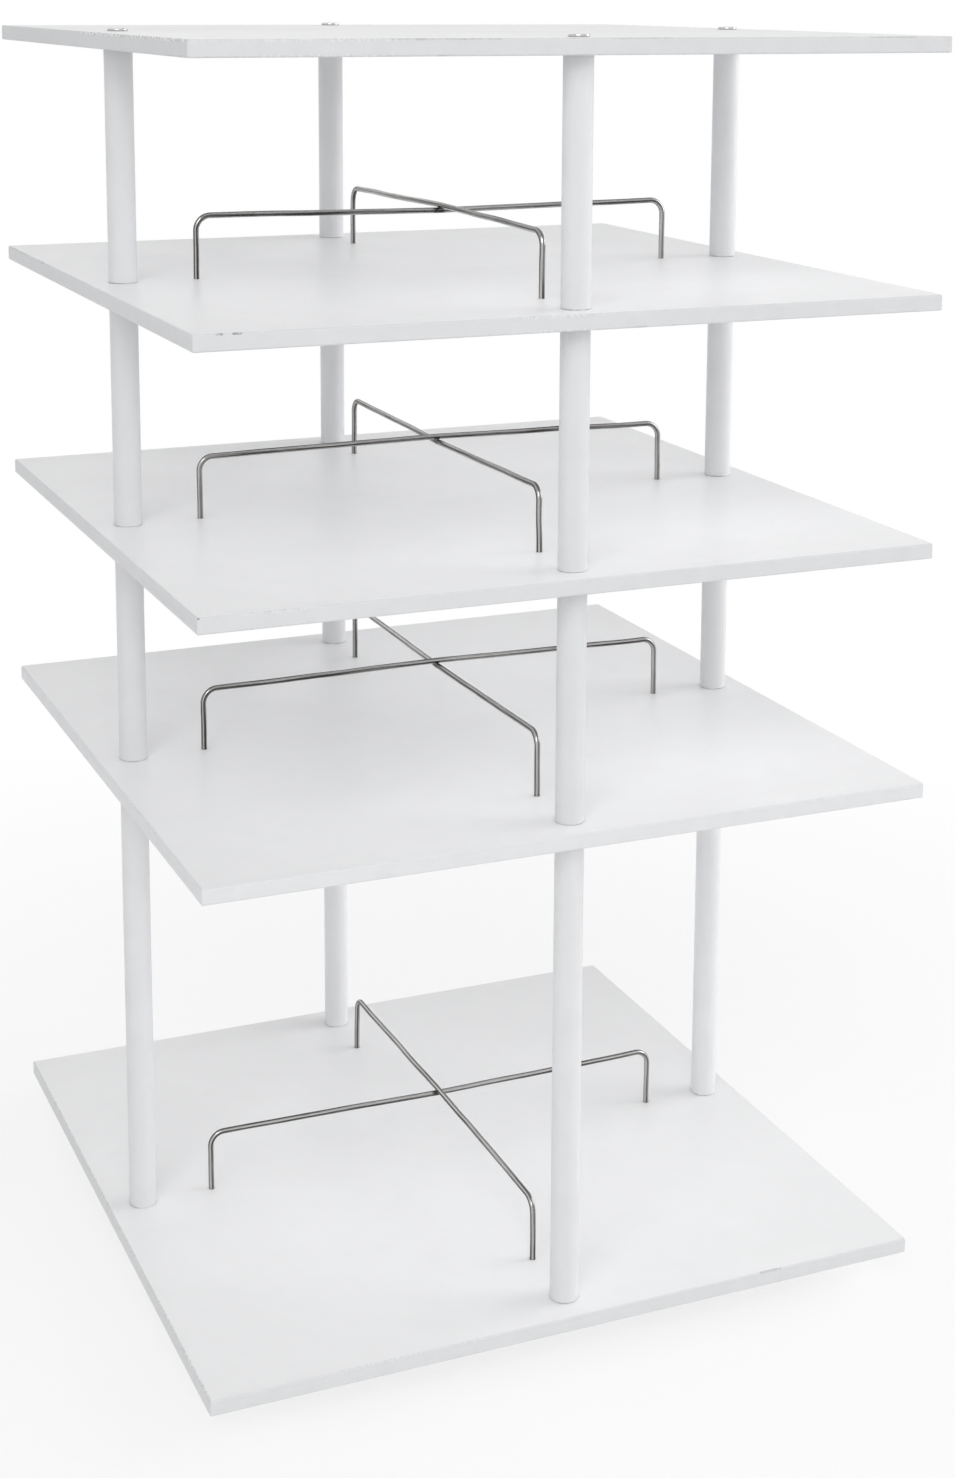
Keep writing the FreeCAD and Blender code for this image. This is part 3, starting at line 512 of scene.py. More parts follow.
# Materials.
def board_material(shelf, centre, half, seed, marks):
    """White foil on a square board: edge bands, worn arrises, and marks round what it holds.

    Half is half of the board's size. Each mark is the inputs of a fitting mark, with the
    strengths of its line and of its patchy darkened ring.
    """
    material, tree = new_material(shelf + "_foil")
    place = object_place(tree, centre)
    board = {"Vector": place, "Half Side": half.x, "Half Thickness": half.z}
    edges = place_group(tree, "board_edges", {**board, "Seed": seed})
    face = toned(tree, place, LAMINATE, 5.0, 0.02)
    # Painted shade: the edge band is darker than the face, at its board's own painted level.
    band = toned(tree, place, tinted(EDGE_BAND, BAND_SHADE_LEVEL[shelf]), 60.0, 0.03)
    colour = blend_colour(tree, edges["Band"], face["Color"], band["Color"])
    dust = settled_dust(tree, place, 0.04)
    colour = blend_colour(tree, dust, colour, DUST)
    for inputs, line_strength, darkened_ring_strength in marks:
        mark = place_group(tree, "fitting_mark", {"Vector": place, **inputs})
        line = product(tree, mark["Line"], line_strength)
        darkened_ring = product(tree, mark["Grime"], darkened_ring_strength)
        # Round each fitting: a dark line, and a patchy darker ring a few mm wide.
        colour = blend_colour(tree, math_node(tree, "MAXIMUM", line, darkened_ring), colour, SEAM_AND_SHADE_GREY)
    seam = product(tree, edges["Seam"], 0.3)
    fray = product(tree, edges["Fray"], 0.25)
    for (outward, lengthwise), start, end, seam_strength, fray_strength in ARRIS_WEAR.get(shelf, ()):
        where = {"Outward": outward, "Lengthwise": lengthwise, "Start": start * MM, "End": end * MM}
        stretch = place_group(tree, "arris_stretch", {**board, **where})
        seam = math_node(tree, "MULTIPLY_ADD", stretch["Seam"], seam_strength, seam)
        fray = math_node(tree, "MULTIPLY_ADD", stretch["Fray"], fray_strength, fray)
    bitten = product(tree, fray, -0.6, clamp=True)
    for mask, mark_colour in (
        (product(tree, fray, 0.9, clamp=True), LAMINATE),
        (bitten, CHIPPED),
        (product(tree, seam, 0.9, clamp=True), SEAM_AND_SHADE_GREY),
    ):
        colour = blend_colour(tree, mask, colour, mark_colour)
    rough = ranged(tree, face["Patches"], 0.34, 0.42)
    rough = math_node(tree, "MULTIPLY_ADD", edges["Band"], 0.08, rough)
    rough = math_node(tree, "MULTIPLY_ADD", bitten, 0.4, rough)
    rough = total(tree, rough, dust, clamp=True)
    dents = product(tree, total(tree, seam, bitten), 3.0)
    height = difference(tree, skin_height(tree, place, 900.0, 22.0), dents)
    normal = bump(tree, height, 0.12, 0.4 * MM)
    return surfaced(material, colour, rough, normal)


def post_material(name, white, low, high):
    """White lacquer on a turned dowel: painted shade at its top, and broken chamfers with painted
    contact shade.
    """
    material, tree = new_material(name)
    place = object_place(tree)
    rise = axes(tree, place)["Z"]
    from_top = difference(tree, high, rise)
    from_end = math_node(tree, "MINIMUM", difference(tree, rise, low), from_top)
    tone = toned(tree, place, white, 26.0, 0.03)
    # Painted shade: the post darkens over its top 14 mm, under the shelf above.
    painted_top_shade = smooth_step(tree, from_top, 14.0 * MM, 0.0, 0.0, 0.13)
    colour = blend_colour(tree, painted_top_shade, tone["Color"], SEAM_AND_SHADE_GREY)
    # Dark ends: partly bare broken chamfers, partly painted contact shade where the post meets a board.
    bare_chamfer_and_contact_shade = smooth_step(tree, from_end, 0.9 * MM, 0.2 * MM, 0.0, 0.6)
    breaks = smooth_step(tree, noise(tree, place, 130.0), 0.44, 0.58, 0.12, 1.0)
    colour = blend_colour(tree, product(tree, bare_chamfer_and_contact_shade, breaks), colour, SEAM_AND_SHADE_GREY)
    rough = ranged(tree, tone["Patches"], 0.36, 0.46)
    lengthwise = vector_math(tree, "MULTIPLY", place, (1.0, 1.0, 0.04))
    grain = noise(tree, lengthwise, 900.0)
    height = total(tree, skin_height(tree, place, 1100.0, 60.0), grain)
    normal = bump(tree, height, 0.14, 0.4 * MM)
    return surfaced(material, colour, rough, normal)


def base_material():
    material, tree = new_material("base_lacquer_white")
    place = object_place(tree)
    tone = toned(tree, place, LAMINATE, 7.0, 0.05)
    dust = settled_dust(tree, place, 0.22)
    colour = blend_colour(tree, dust, tone["Color"], BASE_DUST)
    rough = total(tree, ranged(tree, tone["Patches"], 0.4, 0.5), dust, clamp=True)
    normal = bump(tree, skin_height(tree, place, 800.0, 30.0), 0.16, 0.4 * MM)
    return surfaced(material, colour, rough, normal)


def wire_material(name, crossing_shade_depth):
    """Bright drawn steel wire: painted reflections as streaks along its length, and a fine drawing
    grain.

    Crossing shade depth is how dark the painted shade is where another wire crosses over this one.
    """
    material, tree = new_material(name)
    inputs = {"Along": kept_value(tree, "along"), "Around": kept_value(tree, "around")}
    reflections_and_grain = place_group(tree, "wire_painted_reflections", inputs)
    # Painted reflections: the streak lines stand in for the room reflected round the wire.
    colour = blend_colour(tree, reflections_and_grain["Streak"], STEEL_DARK, STEEL_LIGHT)
    fine = smooth_step(tree, reflections_and_grain["Fine"], 0.35, 0.7, 0.0, 0.35)
    colour = blend_colour(tree, fine, colour, STEEL_DARK)
    from_crossing = from_z_axis(tree, object_place(tree))
    # Painted shade on the lower wire, under the wire that crosses over it.
    painted_crossing_shade = smooth_step(tree, from_crossing, 7.0 * MM, 3.5 * MM, 0.0, crossing_shade_depth)
    colour = blend_colour(tree, painted_crossing_shade, colour, CROSSING_SHADE)
    rough = smooth_step(tree, reflections_and_grain["Fine"], 0.3, 0.7, 0.12, 0.28)
    return surfaced(material, colour, rough, bump(tree, reflections_and_grain["Fine"], 0.25, 0.2 * MM), Metallic=1.0)


def plated_material(name, colour, rough_range, spangle, spangle_depth, stain, head=None):
    """Plated steel. A head, given as its recess and rim radius, adds painted reflection bands and
    painted recess shade.
    """
    material, tree = new_material(name)
    inputs = {"Vector": object_place(tree), "Spangle Scale": spangle}
    plate = place_group(tree, "plated_grain", inputs)
    shade = blend_colour(tree, plate["Spangle"], colour, tinted(colour, 1.0 - spangle_depth))
    shade = blend_colour(tree, product(tree, plate["Stain"], stain), shade, STEEL_DARK)
    if head:
        from_axis = kept_value(tree, "from_axis")
        inputs = {"From Axis": from_axis, "Recess": head[0], "Rim": head[1]}
        painted_head = place_group(tree, "head_painted_light", inputs)
        # Painted reflection bands across the head, and painted shade in its recess.
        reflection_bands = product(tree, painted_head["Bands"], 0.2)
        painted_recess_shade = product(tree, painted_head["Recess"], 0.85)
        shade = blend_colour(tree, math_node(tree, "MAXIMUM", reflection_bands, painted_recess_shade), shade, STEEL_DARK)
    rough = ranged(tree, plate["Stain"], *rough_range)
    return surfaced(material, shade, rough, bump(tree, plate["Grain"], 0.15, 0.1 * MM), Metallic=1.0)


def cage_material():
    material, tree = new_material("natural_nylon")
    place = object_place(tree)
    tone = toned(tree, place, NATURAL_NYLON, 60.0, 0.12)
    rough = ranged(tree, tone["Patches"], 0.4, 0.55)
    normal = bump(tree, skin_height(tree, place, 2500.0, 200.0), 0.2, 0.2 * MM)
    return surfaced(material, tone["Color"], rough, normal, IOR=1.53, Subsurface_Weight=0.1)


def rubber_material():
    material, tree = new_material("moulded_rubber")
    place = object_place(tree)
    tone = toned(tree, place, BLACK_RUBBER, 90.0, 0.3)
    dust = settled_dust(tree, place, 0.5)
    scuff = smooth_step(tree, noise(tree, place, 260.0, 4.0, 0.7), 0.55, 0.75, 0.0, 0.12)
    worn = total(tree, dust, scuff, clamp=True)
    colour = blend_colour(tree, worn, tone["Color"], RUBBER_SCUFF)
    rough = ranged(tree, tone["Patches"], 0.6, 0.8)
    normal = bump(tree, skin_height(tree, place, 3000.0, 300.0), 0.4, 0.2 * MM)
    return surfaced(material, colour, rough, normal, Specular_IOR_Level=0.35)


# Meshes.
def new_object(name, data):
    made = bpy.data.objects.new(name, data)
    bpy.context.scene.collection.objects.link(made)
    return made


def finished_mesh(name, shape):
    """Turns a bmesh into a mesh whose faces are joined, smooth and point outwards."""
    bmesh.ops.remove_doubles(shape, verts=shape.verts, dist=1e-7)
    bmesh.ops.recalc_face_normals(shape, faces=shape.faces)
    for face in shape.faces:
        face.smooth = True
    mesh = bpy.data.meshes.new(name)
    shape.to_mesh(mesh)
    shape.free()
    return mesh


def ring_mesh(name, rings, corners):
    """Closes a stack of rings, each a function of the angle that gives (radius, height).

    A ring whose radius is zero closes the form to a point.
    """
    shape = bmesh.new()
    loops = []
    for ring in rings:
        loop = []
        for index in range(corners):
            angle = math.tau * index / corners
            radius, height = ring(angle)
            spot = (radius * math.cos(angle), radius * math.sin(angle), height)
            loop.append(shape.verts.new(spot))
        loops.append(loop)
    for lower, upper in zip(loops, loops[1:]):
        for index in range(corners):
            after = (index + 1) % corners
            shape.faces.new((lower[index], lower[after], upper[after], upper[index]))
    return finished_mesh(name, shape)


def round_ring(radius, height):
    return lambda angle: (radius, height)


def round_rings(*sizes):
    return [round_ring(*size) for size in sizes]


def hexagon_ring(flats, height):
    """A ring with six flats, flats apart."""
    def ring(angle):
        lean = (angle + math.pi / 6.0) % (math.pi / 3.0) - math.pi / 6.0
        return flats / 2.0 / math.cos(math.pi / 6.0 - abs(lean)), height
    return ring


def cross_ring(reach, arm, height):
    """A ring round the four arms of a cross recess."""
    def ring(angle):
        lean = abs((angle + math.pi / 4.0) % (math.pi / 2.0) - math.pi / 4.0)
        return min(reach / math.cos(lean), arm / 2.0 / max(math.sin(lean), 1e-6)), height
    return ring


def fillet_rings(radius, height, rounding, steps):
    """Rings of a quarter round that ends at (radius - rounding, height) from the outside."""
    rings = []
    for step in range(steps + 1):
        angle = math.pi / 2.0 * step / steps
        reach = radius - rounding + rounding * math.cos(angle)
        rise = height - rounding + rounding * math.sin(angle)
        rings.append(round_ring(reach, rise))
    return rings


def thread_rings(radius, depth, pitch, low, high):
    """Rings of a thread's crests and roots, from low up to high."""
    count = int((high - low) / pitch)
    root = radius - depth
    rings = []
    for turn in range(count):
        start = low + turn * pitch
        rings += round_rings((root, start), (radius, start + pitch * 0.4), (radius, start + pitch * 0.6))
    return rings + round_rings((root, low + count * pitch))


def shank_rings(radius, depth, pitch, low, thread_top, head_radius, head_chamfer):
    """Rings of a shank threaded from low to thread_top, then up to the head and round its foot."""
    return thread_rings(radius, depth, pitch, low, thread_top) + round_rings(
        (radius, thread_top + THREAD_RUNOUT),
        (radius, 0.0),
        (head_radius - head_chamfer, 0.0),
        (head_radius, head_chamfer),
    )


# Geometry node trees.
def stored(tree, geometry, name, value):
    """Keeps a value on the points under name, for the materials."""
    inputs = {"Geometry": geometry, "Name": name, "Value": value}
    return output(tree, "GeometryNodeStoreNamedAttribute", inputs, data_type="FLOAT", domain="POINT")


def clad(tree, geometry, material):
    """Ends a tree: instances become real, and everything takes the material."""
    real = output(tree, "GeometryNodeRealizeInstances", {0: geometry})
    finished = output(tree, "GeometryNodeSetMaterial", {"Geometry": real, "Material": material})
    return finished_group(tree, {"Geometry": finished})


def fastener_ring_tree():
    """Stands copies of a small part evenly in a ring, each at a turn of its own.

    Each point keeps its distance from the part's own axis.
    """
    inputs = {
        "Geometry": None,
        "Count": 4,
        "Circle": 0.1,
        "First Angle": 0.0,
        "Lift": 0.0,
        "Loose Turn": 0.0,
        "Seed": 1,
        "Material": None,
    }
    tree, given = new_group("fastener_ring", inputs, "GeometryNodeTree")
    place = output(tree, "GeometryNodeInputPosition")
    part = stored(tree, given["Geometry"], "from_axis", from_z_axis(tree, place))
    number = output(tree, "GeometryNodeInputIndex")
    share = math_node(tree, "DIVIDE", number, given["Count"])
    angle = math_node(tree, "MULTIPLY_ADD", share, math.tau, given["First Angle"])
    spot = on_circle(tree, angle, given["Circle"], given["Lift"])
    points = output(tree, "GeometryNodePoints", {"Count": given["Count"], "Position": spot})
    inputs = {2: 0.0, 3: given["Loose Turn"], "Seed": given["Seed"]}
    loose = node(tree, "FunctionNodeRandomValue", inputs).outputs[1]
    turn = combined(tree, up=total(tree, angle, loose))
    inputs = {"Points": points, "Instance": part, "Rotation": turn}
    placed = output(tree, "GeometryNodeInstanceOnPoints", inputs)
    return clad(tree, placed, given["Material"])


def bent_wire_tree():
    """Sweeps a round section along a wire's middle line, and keeps where each point lies.

    The line is a little uneven, as wire bent by hand is, except near its feet and its crossing.
    """
    inputs = {
        "Geometry": None,
        "Wire Radius": 0.0024,
        "Corners": 24,
        "Unevenness": 0.0018,
        "Waves": 16.0,
        "Foot Height": 0.0,
        "Start": 0.0,
        "Material": None,
    }
    tree, given = new_group("bent_wire", inputs, "GeometryNodeTree")
    place = output(tree, "GeometryNodeInputPosition")
    above = difference(tree, axes(tree, place)["Z"], given["Foot Height"])
    parts = axes(tree, vector_math(tree, "ABSOLUTE", place))
    reach = total(tree, parts["X"], parts["Y"])
    from_crossing = smooth_step(tree, reach, 20.0 * MM, 60.0 * MM)
    free = product(tree, smooth_step(tree, above, 0.0, 30.0 * MM), from_crossing)
    waves = {"Vector": place, "Scale": given["Waves"], "Detail": 1.0}
    swing = node(tree, "ShaderNodeTexNoise", waves).outputs["Color"]
    swing = vector_math(tree, "SUBTRACT", swing, (0.5, 0.5, 0.5))
    swing = scaled(tree, swing, product(tree, free, given["Unevenness"]))
    bent = output(tree, "GeometryNodeSetPosition", {"Geometry": given["Geometry"], "Offset": swing})
    route = node(tree, "GeometryNodeSplineParameter").outputs["Length"]
    line = stored(tree, bent, "along", total(tree, route, given["Start"]))
    inputs = {"Resolution": given["Corners"], "Radius": given["Wire Radius"]}
    section = output(tree, "GeometryNodeCurvePrimitiveCircle", inputs)
    step = output(tree, "GeometryNodeInputIndex")
    section = stored(tree, section, "around", math_node(tree, "DIVIDE", step, given["Corners"]))
    inputs = {"Curve": line, "Profile Curve": section, "Fill Caps": True}
    swept = output(tree, "GeometryNodeCurveToMesh", inputs)
    return clad(tree, swept, given["Material"])


def grown(name, source, tree, values):
    """Runs a geometry tree on source and returns the result as a plain mesh piece."""
    modifier = source.modifiers.new("grow", "NODES")
    modifier.node_group = tree
    for item in tree.interface.items_tree:
        if item.in_out == "INPUT" and item.name in values:
            modifier[item.identifier] = values[item.name]
    depsgraph = bpy.context.evaluated_depsgraph_get()
    mesh = bpy.data.meshes.new_from_object(source.evaluated_get(depsgraph), depsgraph=depsgraph)
    mesh.name = name
    source.modifiers.remove(modifier)
    bpy.data.objects.remove(source)
    return new_object(name, mesh)


def dress(piece, body, node_name):
    """Gives a finished piece to its body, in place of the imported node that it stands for."""
    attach(piece, body)
    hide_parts(node_name)


def clothe(name, material):
    """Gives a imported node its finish."""
    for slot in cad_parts[name].material_slots:
        slot.material = material


# Wire hoops.
WIRE_BEND = 12.0 * MM
WIRE_CROSSING_BEND = 40.0 * MM
HOOP_GAP = 0.1 * MM
HOOP_RISE = 52.0 * MM
BEND_STEPS = 14
BAR_STEPS = 14
LEG_STEPS = 6
CROSSING_STEPS = 6

# Where along its coil each hoop's wire was cut, in metres, which sets where its painted reflection
# streaks lie.
WIRE_START = {
    "tier_1": {"front_to_back": 8.5, "side_to_side": 6.8},
    "tier_2": {"front_to_back": 3.4, "side_to_side": 1.7},
    "tier_3": {"front_to_back": 0.0, "side_to_side": 6.8},
    "boot_tier": {"front_to_back": 3.4, "side_to_side": 10.2},
}


def arc_points(centre, radius, first, last, steps):
    angles = [first + (last - first) * step / steps for step in range(steps + 1)]
    return [centre + radius * Vector((math.cos(angle), math.sin(angle))) for angle in angles]


def hoop_line(half, foot, height, over):
    """The middle line of a hoop as (across, up) points, from its left foot to its right foot."""
    side = 1.0 if over else -1.0
    bow = WIRE_RADIUS + HOOP_GAP / 2.0
    bend_centre = Vector((WIRE_BEND - half, height - WIRE_BEND))
    crossing_centre = Vector((0.0, height + side * (bow - WIRE_CROSSING_BEND)))
    reach = crossing_centre - bend_centre
    lean = math.acos((WIRE_BEND - side * WIRE_CROSSING_BEND) / reach.length)
    normal = math.atan2(reach.y, reach.x) + lean
    bend = arc_points(bend_centre, WIRE_BEND, math.pi, normal, BEND_STEPS)
    bow_radius = side * WIRE_CROSSING_BEND
    crossing = arc_points(crossing_centre, bow_radius, normal, math.pi / 2.0, CROSSING_STEPS)
    foot_point = Vector((-half, foot))
    leg = [foot_point.lerp(bend[0], step / LEG_STEPS) for step in range(LEG_STEPS)]
    bar = [bend[-1].lerp(crossing[0], step / BAR_STEPS) for step in range(1, BAR_STEPS)]
    left = leg + bend + bar + crossing[:-1]
    middle = Vector((0.0, height + side * bow))
    right = [Vector((-spot.x, spot.y)) for spot in reversed(left)]
    return left + [middle] + right


def make_hoop(tier, direction, tree, upper_wire, lower_wire):
    node_name = "%s_%s_hoop" % (tier, direction)
    low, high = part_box(node_name)
    along_x = direction == "side_to_side"
    half = (high.x if along_x else high.y) - WIRE_RADIUS
    over = (tier in ("tier_1", "boot_tier")) != along_x
    top = high.z - WIRE_RADIUS
    height = top - (WIRE_RADIUS + HOOP_GAP / 2.0 if over else 0.0)
    line = hoop_line(half, low.z, height, over)
    curve = bpy.data.curves.new(node_name + "_line", "CURVE")
    curve.dimensions = "3D"
    spline = curve.splines.new("POLY")
    spline.points.add(len(line) - 1)
    for point, spot in zip(spline.points, line):
        point.co = (spot.x, 0.0, spot.y, 1.0) if along_x else (0.0, spot.x, spot.y, 1.0)
    source = new_object(node_name + "_line", curve)
    values = {
        "Wire Radius": WIRE_RADIUS,
        "Foot Height": high.z - HOOP_RISE,
        "Start": WIRE_START[tier][direction],
        "Material": upper_wire if over else lower_wire,
    }
    piece = grown(node_name + "_wire", source, tree, values)
    face_outwards(piece.data)
    dress(piece, "tower", node_name)


def face_outwards(mesh):
    shape = bmesh.new()
    shape.from_mesh(mesh)
    bmesh.ops.recalc_face_normals(shape, faces=shape.faces)
    for face in shape.faces:
        face.smooth = len(face.verts) < 5
    shape.to_mesh(mesh)
    shape.free()


# Fasteners.
BOLT_CORNERS = 48
FOOT_CORNERS = 48
SCREW_CORNERS = 32
RIVET_CORNERS = 24
BOLT_RADIUS = 3.0 * MM
BOLT_REACH = 26.2 * MM
BOLT_HEAD_RADIUS = 8.25 * MM
BOLT_HEAD_HEIGHT = 2.6 * MM
BOLT_SOCKET_FLATS = 4.0 * MM
BOLT_SOCKET_DEPTH = 1.8 * MM
BOLT_THREAD_PITCH = 1.0 * MM
BOLT_THREAD_DEPTH = 0.5 * MM
BOLT_THREAD_TOP = -12.7 * MM
BOLT_POINT_CHAMFER = 0.7 * MM
BOLT_HEAD_CHAMFER = 0.25 * MM
SCREW_RADIUS = 2.0 * MM
SCREW_HEAD_RADIUS = 4.0 * MM
SCREW_HEAD_HEIGHT = 2.4 * MM
SCREW_RECESS_REACH = 1.95 * MM
SCREW_RECESS_ARM = 0.95 * MM
SCREW_POINT = 2.5 * MM
SCREW_THREAD_PITCH = 1.4 * MM
SCREW_THREAD_DEPTH = 0.5 * MM
SCREW_THREAD_TOP = -2.5 * MM
SCREW_HEAD_CHAMFER = 0.2 * MM
THREAD_RUNOUT = 0.5 * MM
BEARING_SHEET = 1.2 * MM
PLATE_SCREW_INSET = 15.0 * MM
PLATE_SCREW_LENGTH = 11.0 * MM
FOOT_SCREW_LENGTH = 12.0 * MM
FOOT_TOP_RADIUS = 14.0 * MM
FOOT_FLOOR_RADIUS = 12.0 * MM
FOOT_RECESS = 5.5 * MM
FOOT_SEAT = 3.5 * MM
FOOT_HOLE = 2.05 * MM
FOOT_RIM = 0.9 * MM
FOOT_GROOVE = 0.5 * MM
RIVET_RADIUS = 1.5 * MM
RIVET_HEAD_RADIUS = 2.8 * MM
RIVET_HEAD_HEIGHT = 1.1 * MM
RIVET_DOME_STEPS = 6


def bolt_mesh():
    """A connector bolt that stands head up on z = 0: dished flat head, hexagon socket, thread."""
    point = -BOLT_REACH
    low = point + BOLT_POINT_CHAMFER
    top = BOLT_HEAD_HEIGHT
    floor = top - BOLT_SOCKET_DEPTH
    rings = round_rings((0.0, point), (BOLT_RADIUS - BOLT_POINT_CHAMFER, point))
    thread = (BOLT_RADIUS, BOLT_THREAD_DEPTH, BOLT_THREAD_PITCH)
    rings += shank_rings(*thread, low, BOLT_THREAD_TOP, BOLT_HEAD_RADIUS, BOLT_HEAD_CHAMFER)
    rings += fillet_rings(BOLT_HEAD_RADIUS, top - 0.25 * MM, 1.1 * MM, 5)
    # The top swells to a rim and dips a little towards the socket.
    rings += round_rings(
        (6.3 * MM, top - 0.02 * MM),
        (5.4 * MM, top),
        (4.2 * MM, top - 0.12 * MM),
        (3.1 * MM, top - 0.35 * MM),
    )
    rings += [
        hexagon_ring(BOLT_SOCKET_FLATS + 0.4 * MM, top - 0.45 * MM),
        hexagon_ring(BOLT_SOCKET_FLATS, top - 0.7 * MM),
        hexagon_ring(BOLT_SOCKET_FLATS, floor),
    ]
    rings += round_rings((1.6 * MM, floor - 0.05 * MM), (0.0, floor - 0.3 * MM))
    return ring_mesh("connector_bolt", rings, BOLT_CORNERS)


def screw_mesh(length):
    """A pan-head wood screw that stands head up on z = 0, with a cross recess."""
    low = SCREW_POINT - length
    top = SCREW_HEAD_HEIGHT
    rings = round_rings((0.0, -length), (SCREW_RADIUS - SCREW_THREAD_DEPTH, low))
    thread = (SCREW_RADIUS, SCREW_THREAD_DEPTH, SCREW_THREAD_PITCH)
    rings += shank_rings(*thread, low, SCREW_THREAD_TOP, SCREW_HEAD_RADIUS, SCREW_HEAD_CHAMFER)
    rings += fillet_rings(SCREW_HEAD_RADIUS, top - 0.15 * MM, 1.3 * MM, 4)
    rings += [
        round_ring(2.3 * MM, top),
        cross_ring(SCREW_RECESS_REACH, SCREW_RECESS_ARM, top - 0.02 * MM),
        cross_ring(1.5 * MM, 0.7 * MM, top - 1.1 * MM),
        round_ring(0.5 * MM, top - 1.5 * MM),
        round_ring(0.0, top - 1.6 * MM),
    ]
    return ring_mesh("wood_screw", rings, SCREW_CORNERS)


def turned_over(mesh):
    mesh.transform(Matrix.Rotation(math.pi, 4, "X"))
    return mesh


def ring_of(node_name, mesh, tree, material, body, slot, **values):
    """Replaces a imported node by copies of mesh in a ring; values are the tree's other inputs."""
    source = new_object(node_name + "_one", mesh)
    named = {socket.replace("_", " "): value for socket, value in values.items()}
    piece = grown(node_name + "_detailed", source, tree, {**named, "Material": material})
    dress(piece, body, node_name)


def make_bolts(tree, material):
    post_low, post_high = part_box("tier_1_right_post")
    ring = {"Count": 4, "Circle": (post_low.x + post_high.x) / 2.0, "Loose_Turn": math.tau}
    finish = (tree, material, "tower", "nickel_plated_steel")
    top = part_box("top_shelf")[1].z
    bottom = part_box("bottom_shelf")[0].z
    ring_of("top_shelf_bolts", bolt_mesh(), *finish, **ring, Lift=top, Seed=3)
    over = turned_over(bolt_mesh())
    ring_of("bottom_shelf_bolts", over, *finish, **ring, Lift=bottom, Seed=5)


def make_screws(tree, material):
    plate_low, plate_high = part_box("lower_bearing_plate")
    circle = (plate_high.x - PLATE_SCREW_INSET) * math.sqrt(2.0)
    ring = {"Count": 4, "Circle": circle, "First_Angle": math.pi / 4.0, "Loose_Turn": math.tau}
    slot = "zinc_plated_steel"
    seat = plate_low.z + BEARING_SHEET
    upright = screw_mesh(PLATE_SCREW_LENGTH)
    ring_of("lower_plate_screws", upright, tree, material, "base", slot, **ring, Lift=seat, Seed=7)
    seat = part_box("upper_bearing_plate")[1].z - BEARING_SHEET
    over = turned_over(screw_mesh(PLATE_SCREW_LENGTH))
    ring_of("upper_plate_screws", over, tree, material, "tower", slot, **ring, Lift=seat, Seed=11)
    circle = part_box("feet")[1].y - FOOT_TOP_RADIUS
    ring = {"Count": 6, "Circle": circle, "First_Angle": math.pi / 6.0, "Loose_Turn": math.tau}
    over = turned_over(screw_mesh(FOOT_SCREW_LENGTH))
    ring_of("foot_screws", over, tree, material, "base", slot, **ring, Lift=FOOT_SEAT, Seed=13)


def make_feet(tree, material):
    """Moulded feet: rounded rim, a shallow grip groove below and a recess for the screw."""
    low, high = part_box("feet")
    tall = high.z - low.z
    rings = round_rings(
        (FOOT_HOLE, tall),
        (FOOT_TOP_RADIUS - 0.3 * MM, tall),
        (FOOT_TOP_RADIUS, tall - 0.3 * MM),
        (FOOT_FLOOR_RADIUS + 0.35 * MM, 1.2 * MM),
        (FOOT_FLOOR_RADIUS, 0.5 * MM),
        (FOOT_FLOOR_RADIUS - FOOT_RIM / 2.0, 0.12 * MM),
        (FOOT_FLOOR_RADIUS - FOOT_RIM, 0.0),
        (10.2 * MM, 0.0),
        (9.9 * MM, FOOT_GROOVE),
        (9.1 * MM, FOOT_GROOVE),
        (8.8 * MM, 0.0),
        (FOOT_RECESS + 0.5 * MM, 0.0),
        (FOOT_RECESS, 0.5 * MM),
        (FOOT_RECESS, FOOT_SEAT),
        (FOOT_HOLE, FOOT_SEAT),
        (FOOT_HOLE, tall),
    )
    mesh = ring_mesh("foot", rings, FOOT_CORNERS)
    ring = {"Count": 6, "Circle": high.y - FOOT_TOP_RADIUS, "First_Angle": math.pi / 6.0}
    ring_of("feet", mesh, tree, material, "base", "foot_rubber", **ring, Lift=low.z)


def make_rivets(tree, material):
    low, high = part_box("retaining_ring_rivets")
    tall = high.z - low.z
    rings = [round_ring(0.0, 0.0)]
    for step in range(1, RIVET_DOME_STEPS + 1):
        angle = math.pi / 2.0 * step / RIVET_DOME_STEPS
        reach = RIVET_HEAD_RADIUS * math.sin(angle)
        rings.append(round_ring(reach, RIVET_HEAD_HEIGHT * (1.0 - math.cos(angle))))
    rings += round_rings((RIVET_RADIUS, RIVET_HEAD_HEIGHT), (RIVET_RADIUS, tall), (0.0, tall))
    mesh = ring_mesh("rivet", rings, RIVET_CORNERS)
    ring = {"Count": 8, "Circle": high.x - RIVET_HEAD_RADIUS, "Lift": low.z}
    ring_of("retaining_ring_rivets", mesh, tree, material, "tower", "bearing_sheet", **ring)


def make_balls(tree, material):
    low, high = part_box("bearing_balls")
    radius = (high.z - low.z) / 2.0
    shape = bmesh.new()
    bmesh.ops.create_icosphere(shape, subdivisions=3, radius=radius)
    mesh = finished_mesh("ball", shape)
    ring = {"Count": 24, "Circle": high.x - radius, "Lift": low.z + radius}
    ring_of("bearing_balls", mesh, tree, material, "ball_ring", "ball_steel", **ring)


# Stage, light and camera.
def seen_white(tree):
    """One where a ray sees the surroundings: from the camera, or off or through a gloss."""
    path = node(tree, "ShaderNodeLightPath").outputs
    sharp = total(tree, path["Is Glossy Ray"], path["Is Transmission Ray"], clamp=True)
    return total(tree, path["Is Camera Ray"], sharp, clamp=True)


